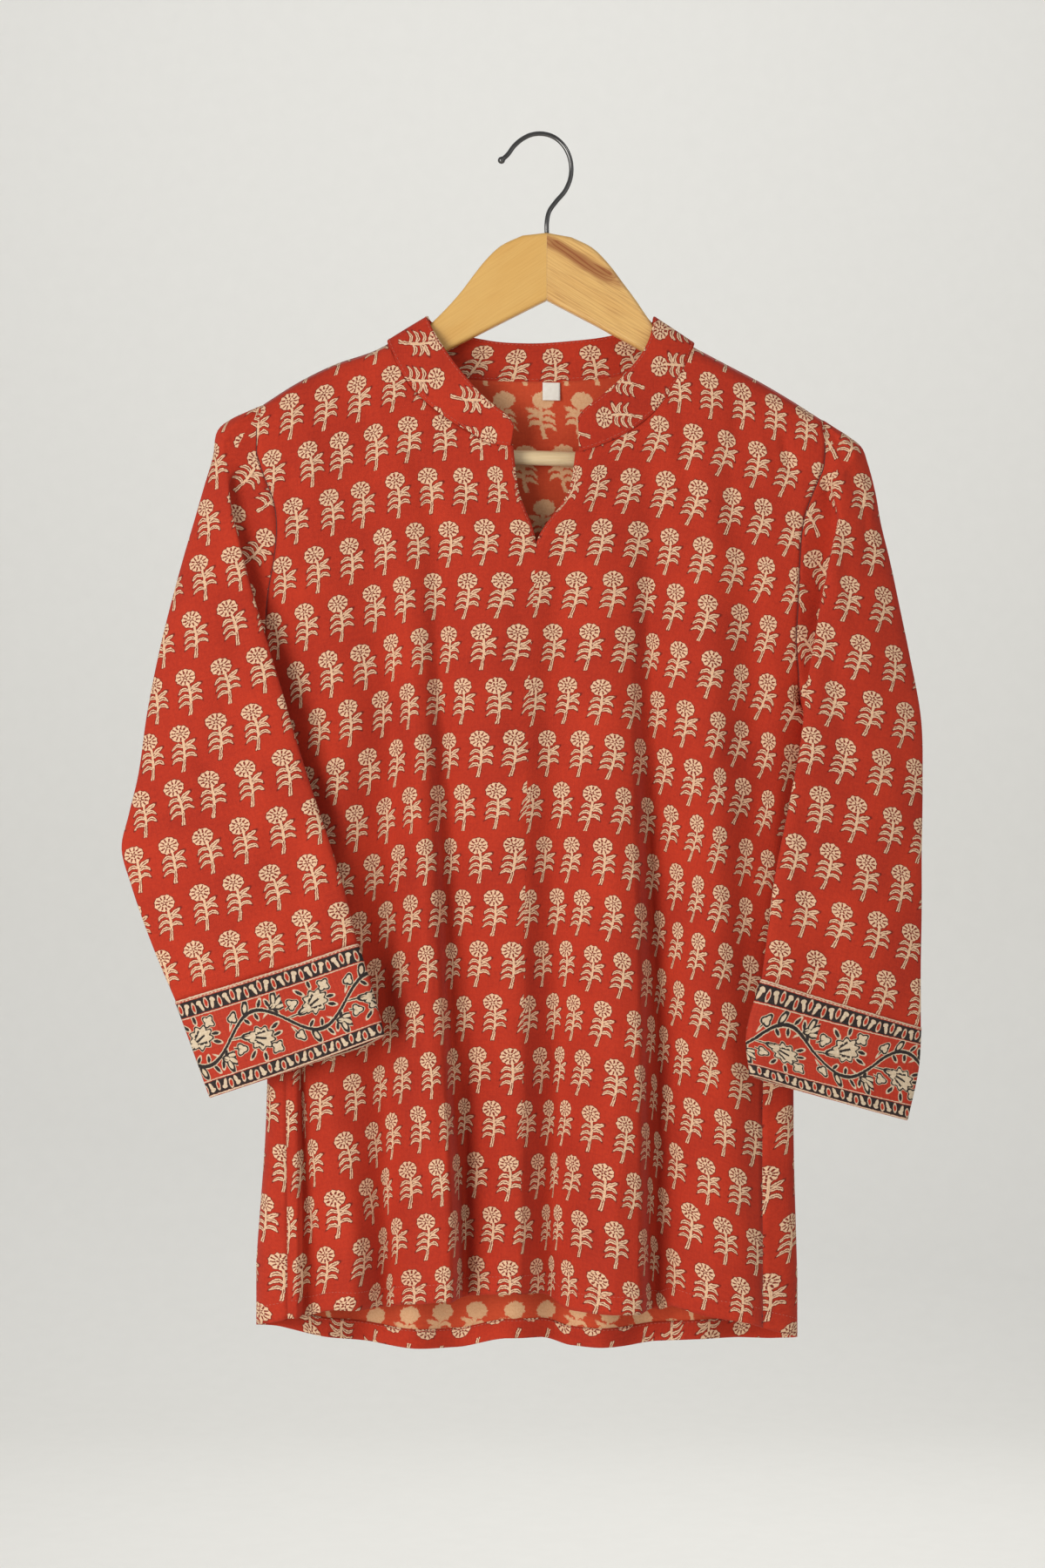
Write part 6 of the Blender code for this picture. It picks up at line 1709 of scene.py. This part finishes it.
def addArmholeSeamShade(name, sheet, column):
    # the seam that sets the sleeve in shows as a thin dark line down its groove: a near-black tube laid
    # along it, which is the seam's thread coloured as painted shade of that groove
    rows = np.arange(panelGrid["side"] + seamShadeSize["lowest"], len(sheet.points) - seamShadeSize["highest"])
    path = evenly(sheet.points[rows, column] + sheet.normals()[rows, column] * seamShadeSize["proud"], 2)
    addTube(name, path, seamShadeSize["radius"], seamShadeSize["sides"], seamGrooveShade)


for label, column in (("right", 0), ("left", -1)):
    for face, sheet in (("front", front), ("back", back)):
        addArmholeSeamShade(label + "_armhole_seam_" + face, sheet, column)

looseThread = {"near": (154.4, -585.0), "inFront": -20.0, "radius": 0.22, "sides": 8,
               "loop": ((0.0, 0.4, 0.0), (-2.6, -1.2, -1.4), (-5.4, -1.0, -4.8), (-6.2, 0.2, -9.0),
                        (-4.4, 0.6, -12.8))}


def addLooseThread():
    # one thread end hangs in a loop from the corner of the left cuff
    points = leftCuff.points.reshape(-1, 3)
    x, z = looseThread["near"]
    off = np.hypot(points[:, 0] - x, points[:, 2] - z) + farOff * (points[:, 1] > looseThread["inFront"])
    path = evenly(points[np.argmin(off)] + np.array(looseThread["loop"]), 8)
    addTube("loose_thread_end", path, looseThread["radius"], looseThread["sides"], paleThread)


addLooseThread()
print("stitches made")

# the floor and the wall behind, in metres, and how round the turn between them is
stage = {"near": -4.2, "far": 3.4, "floor": -1.62, "bend": 1.0, "steps": 14, "top": 4.2, "half": 6.5}


def addStage():
    # a pale floor that curves up into a pale backdrop
    far, floor, bend = stage["far"], stage["floor"], stage["bend"]
    turns = np.linspace(0, math.pi / 2, stage["steps"])
    curve = [(far + bend * math.sin(turn), floor + bend * (1 - math.cos(turn))) for turn in turns]
    line = [(stage["near"], floor), *curve, (far + bend, stage["top"])]
    points = [(x / mm, y / mm, z / mm) for y, z in line for x in (-stage["half"], stage["half"])]
    faces = [(2 * i, 2 * i + 1, 2 * i + 3, 2 * i + 2) for i in range(len(line) - 1)]
    makeMesh("backdrop", points, faces, (paleBackdrop,))


addStage()


def addLight(name, place, target, size, power, colour):
    lamp = bpy.data.lights.new(name, "AREA")
    lamp.shape = "RECTANGLE"
    lamp.size, lamp.size_y = size
    lamp.energy = power
    lamp.color = colour
    made = addObject(name, lamp)
    made.location = place
    x, y, z = np.array(target) - np.array(place)
    made.rotation_euler = (math.atan2(math.hypot(x, y), -z), 0.0, math.atan2(-x, y))


# name, place, what it points at, width and height, in metres, then watts and colour
lights = (
    ("window", (-1.6, -2.05, -0.4), (0.0, 0.0, -0.6), (1.2, 1.7), 46.0, (1.0, 0.985, 0.96)),
    ("fill", (2.0, -2.2, 0.1), (0.0, 0.0, -0.45), (2.2, 2.2), 9.5, (0.98, 0.99, 1.0)),
    ("glint", (0.9, -1.6, 0.9), (0.0, 0.0, -0.03), (0.28, 0.28), 1.9, (1.0, 1.0, 0.98)),
    ("from_behind", (0.6, 3.0, 0.9), (0.0, 0.0, -0.45), (2.4, 2.0), 30.0, (1.0, 0.99, 0.97)),
    ("on_backdrop", (0.0, 1.6, 1.9), (0.0, 4.4, -0.2), (3.6, 0.8), 48.0, (1.0, 1.0, 0.99)),
)
for settings in lights:
    addLight(*settings)

world = bpy.data.worlds.new("studio")
world.use_nodes = True
around = world.node_tree.nodes["Background"].inputs
around["Color"].default_value = (0.96, 0.96, 0.96, 1.0)
around["Strength"].default_value = 0.43
bpy.context.scene.world = world
bpy.context.scene.view_settings.view_transform = "Standard"

# the camera looks straight at the middle of the garment, from a little over two metres
camera = bpy.data.cameras.new("camera")
camera.lens, camera.sensor_width = 70.0, 36.0
camera.clip_start, camera.clip_end = 0.05, 40.0
cameraObject = addObject("camera", camera)
cameraObject.location = (-0.0121, -2.1175, -0.4498)
cameraObject.rotation_euler = (math.pi / 2, 0.0, 0.0)
bpy.context.scene.camera = cameraObject
print("lights and camera set")
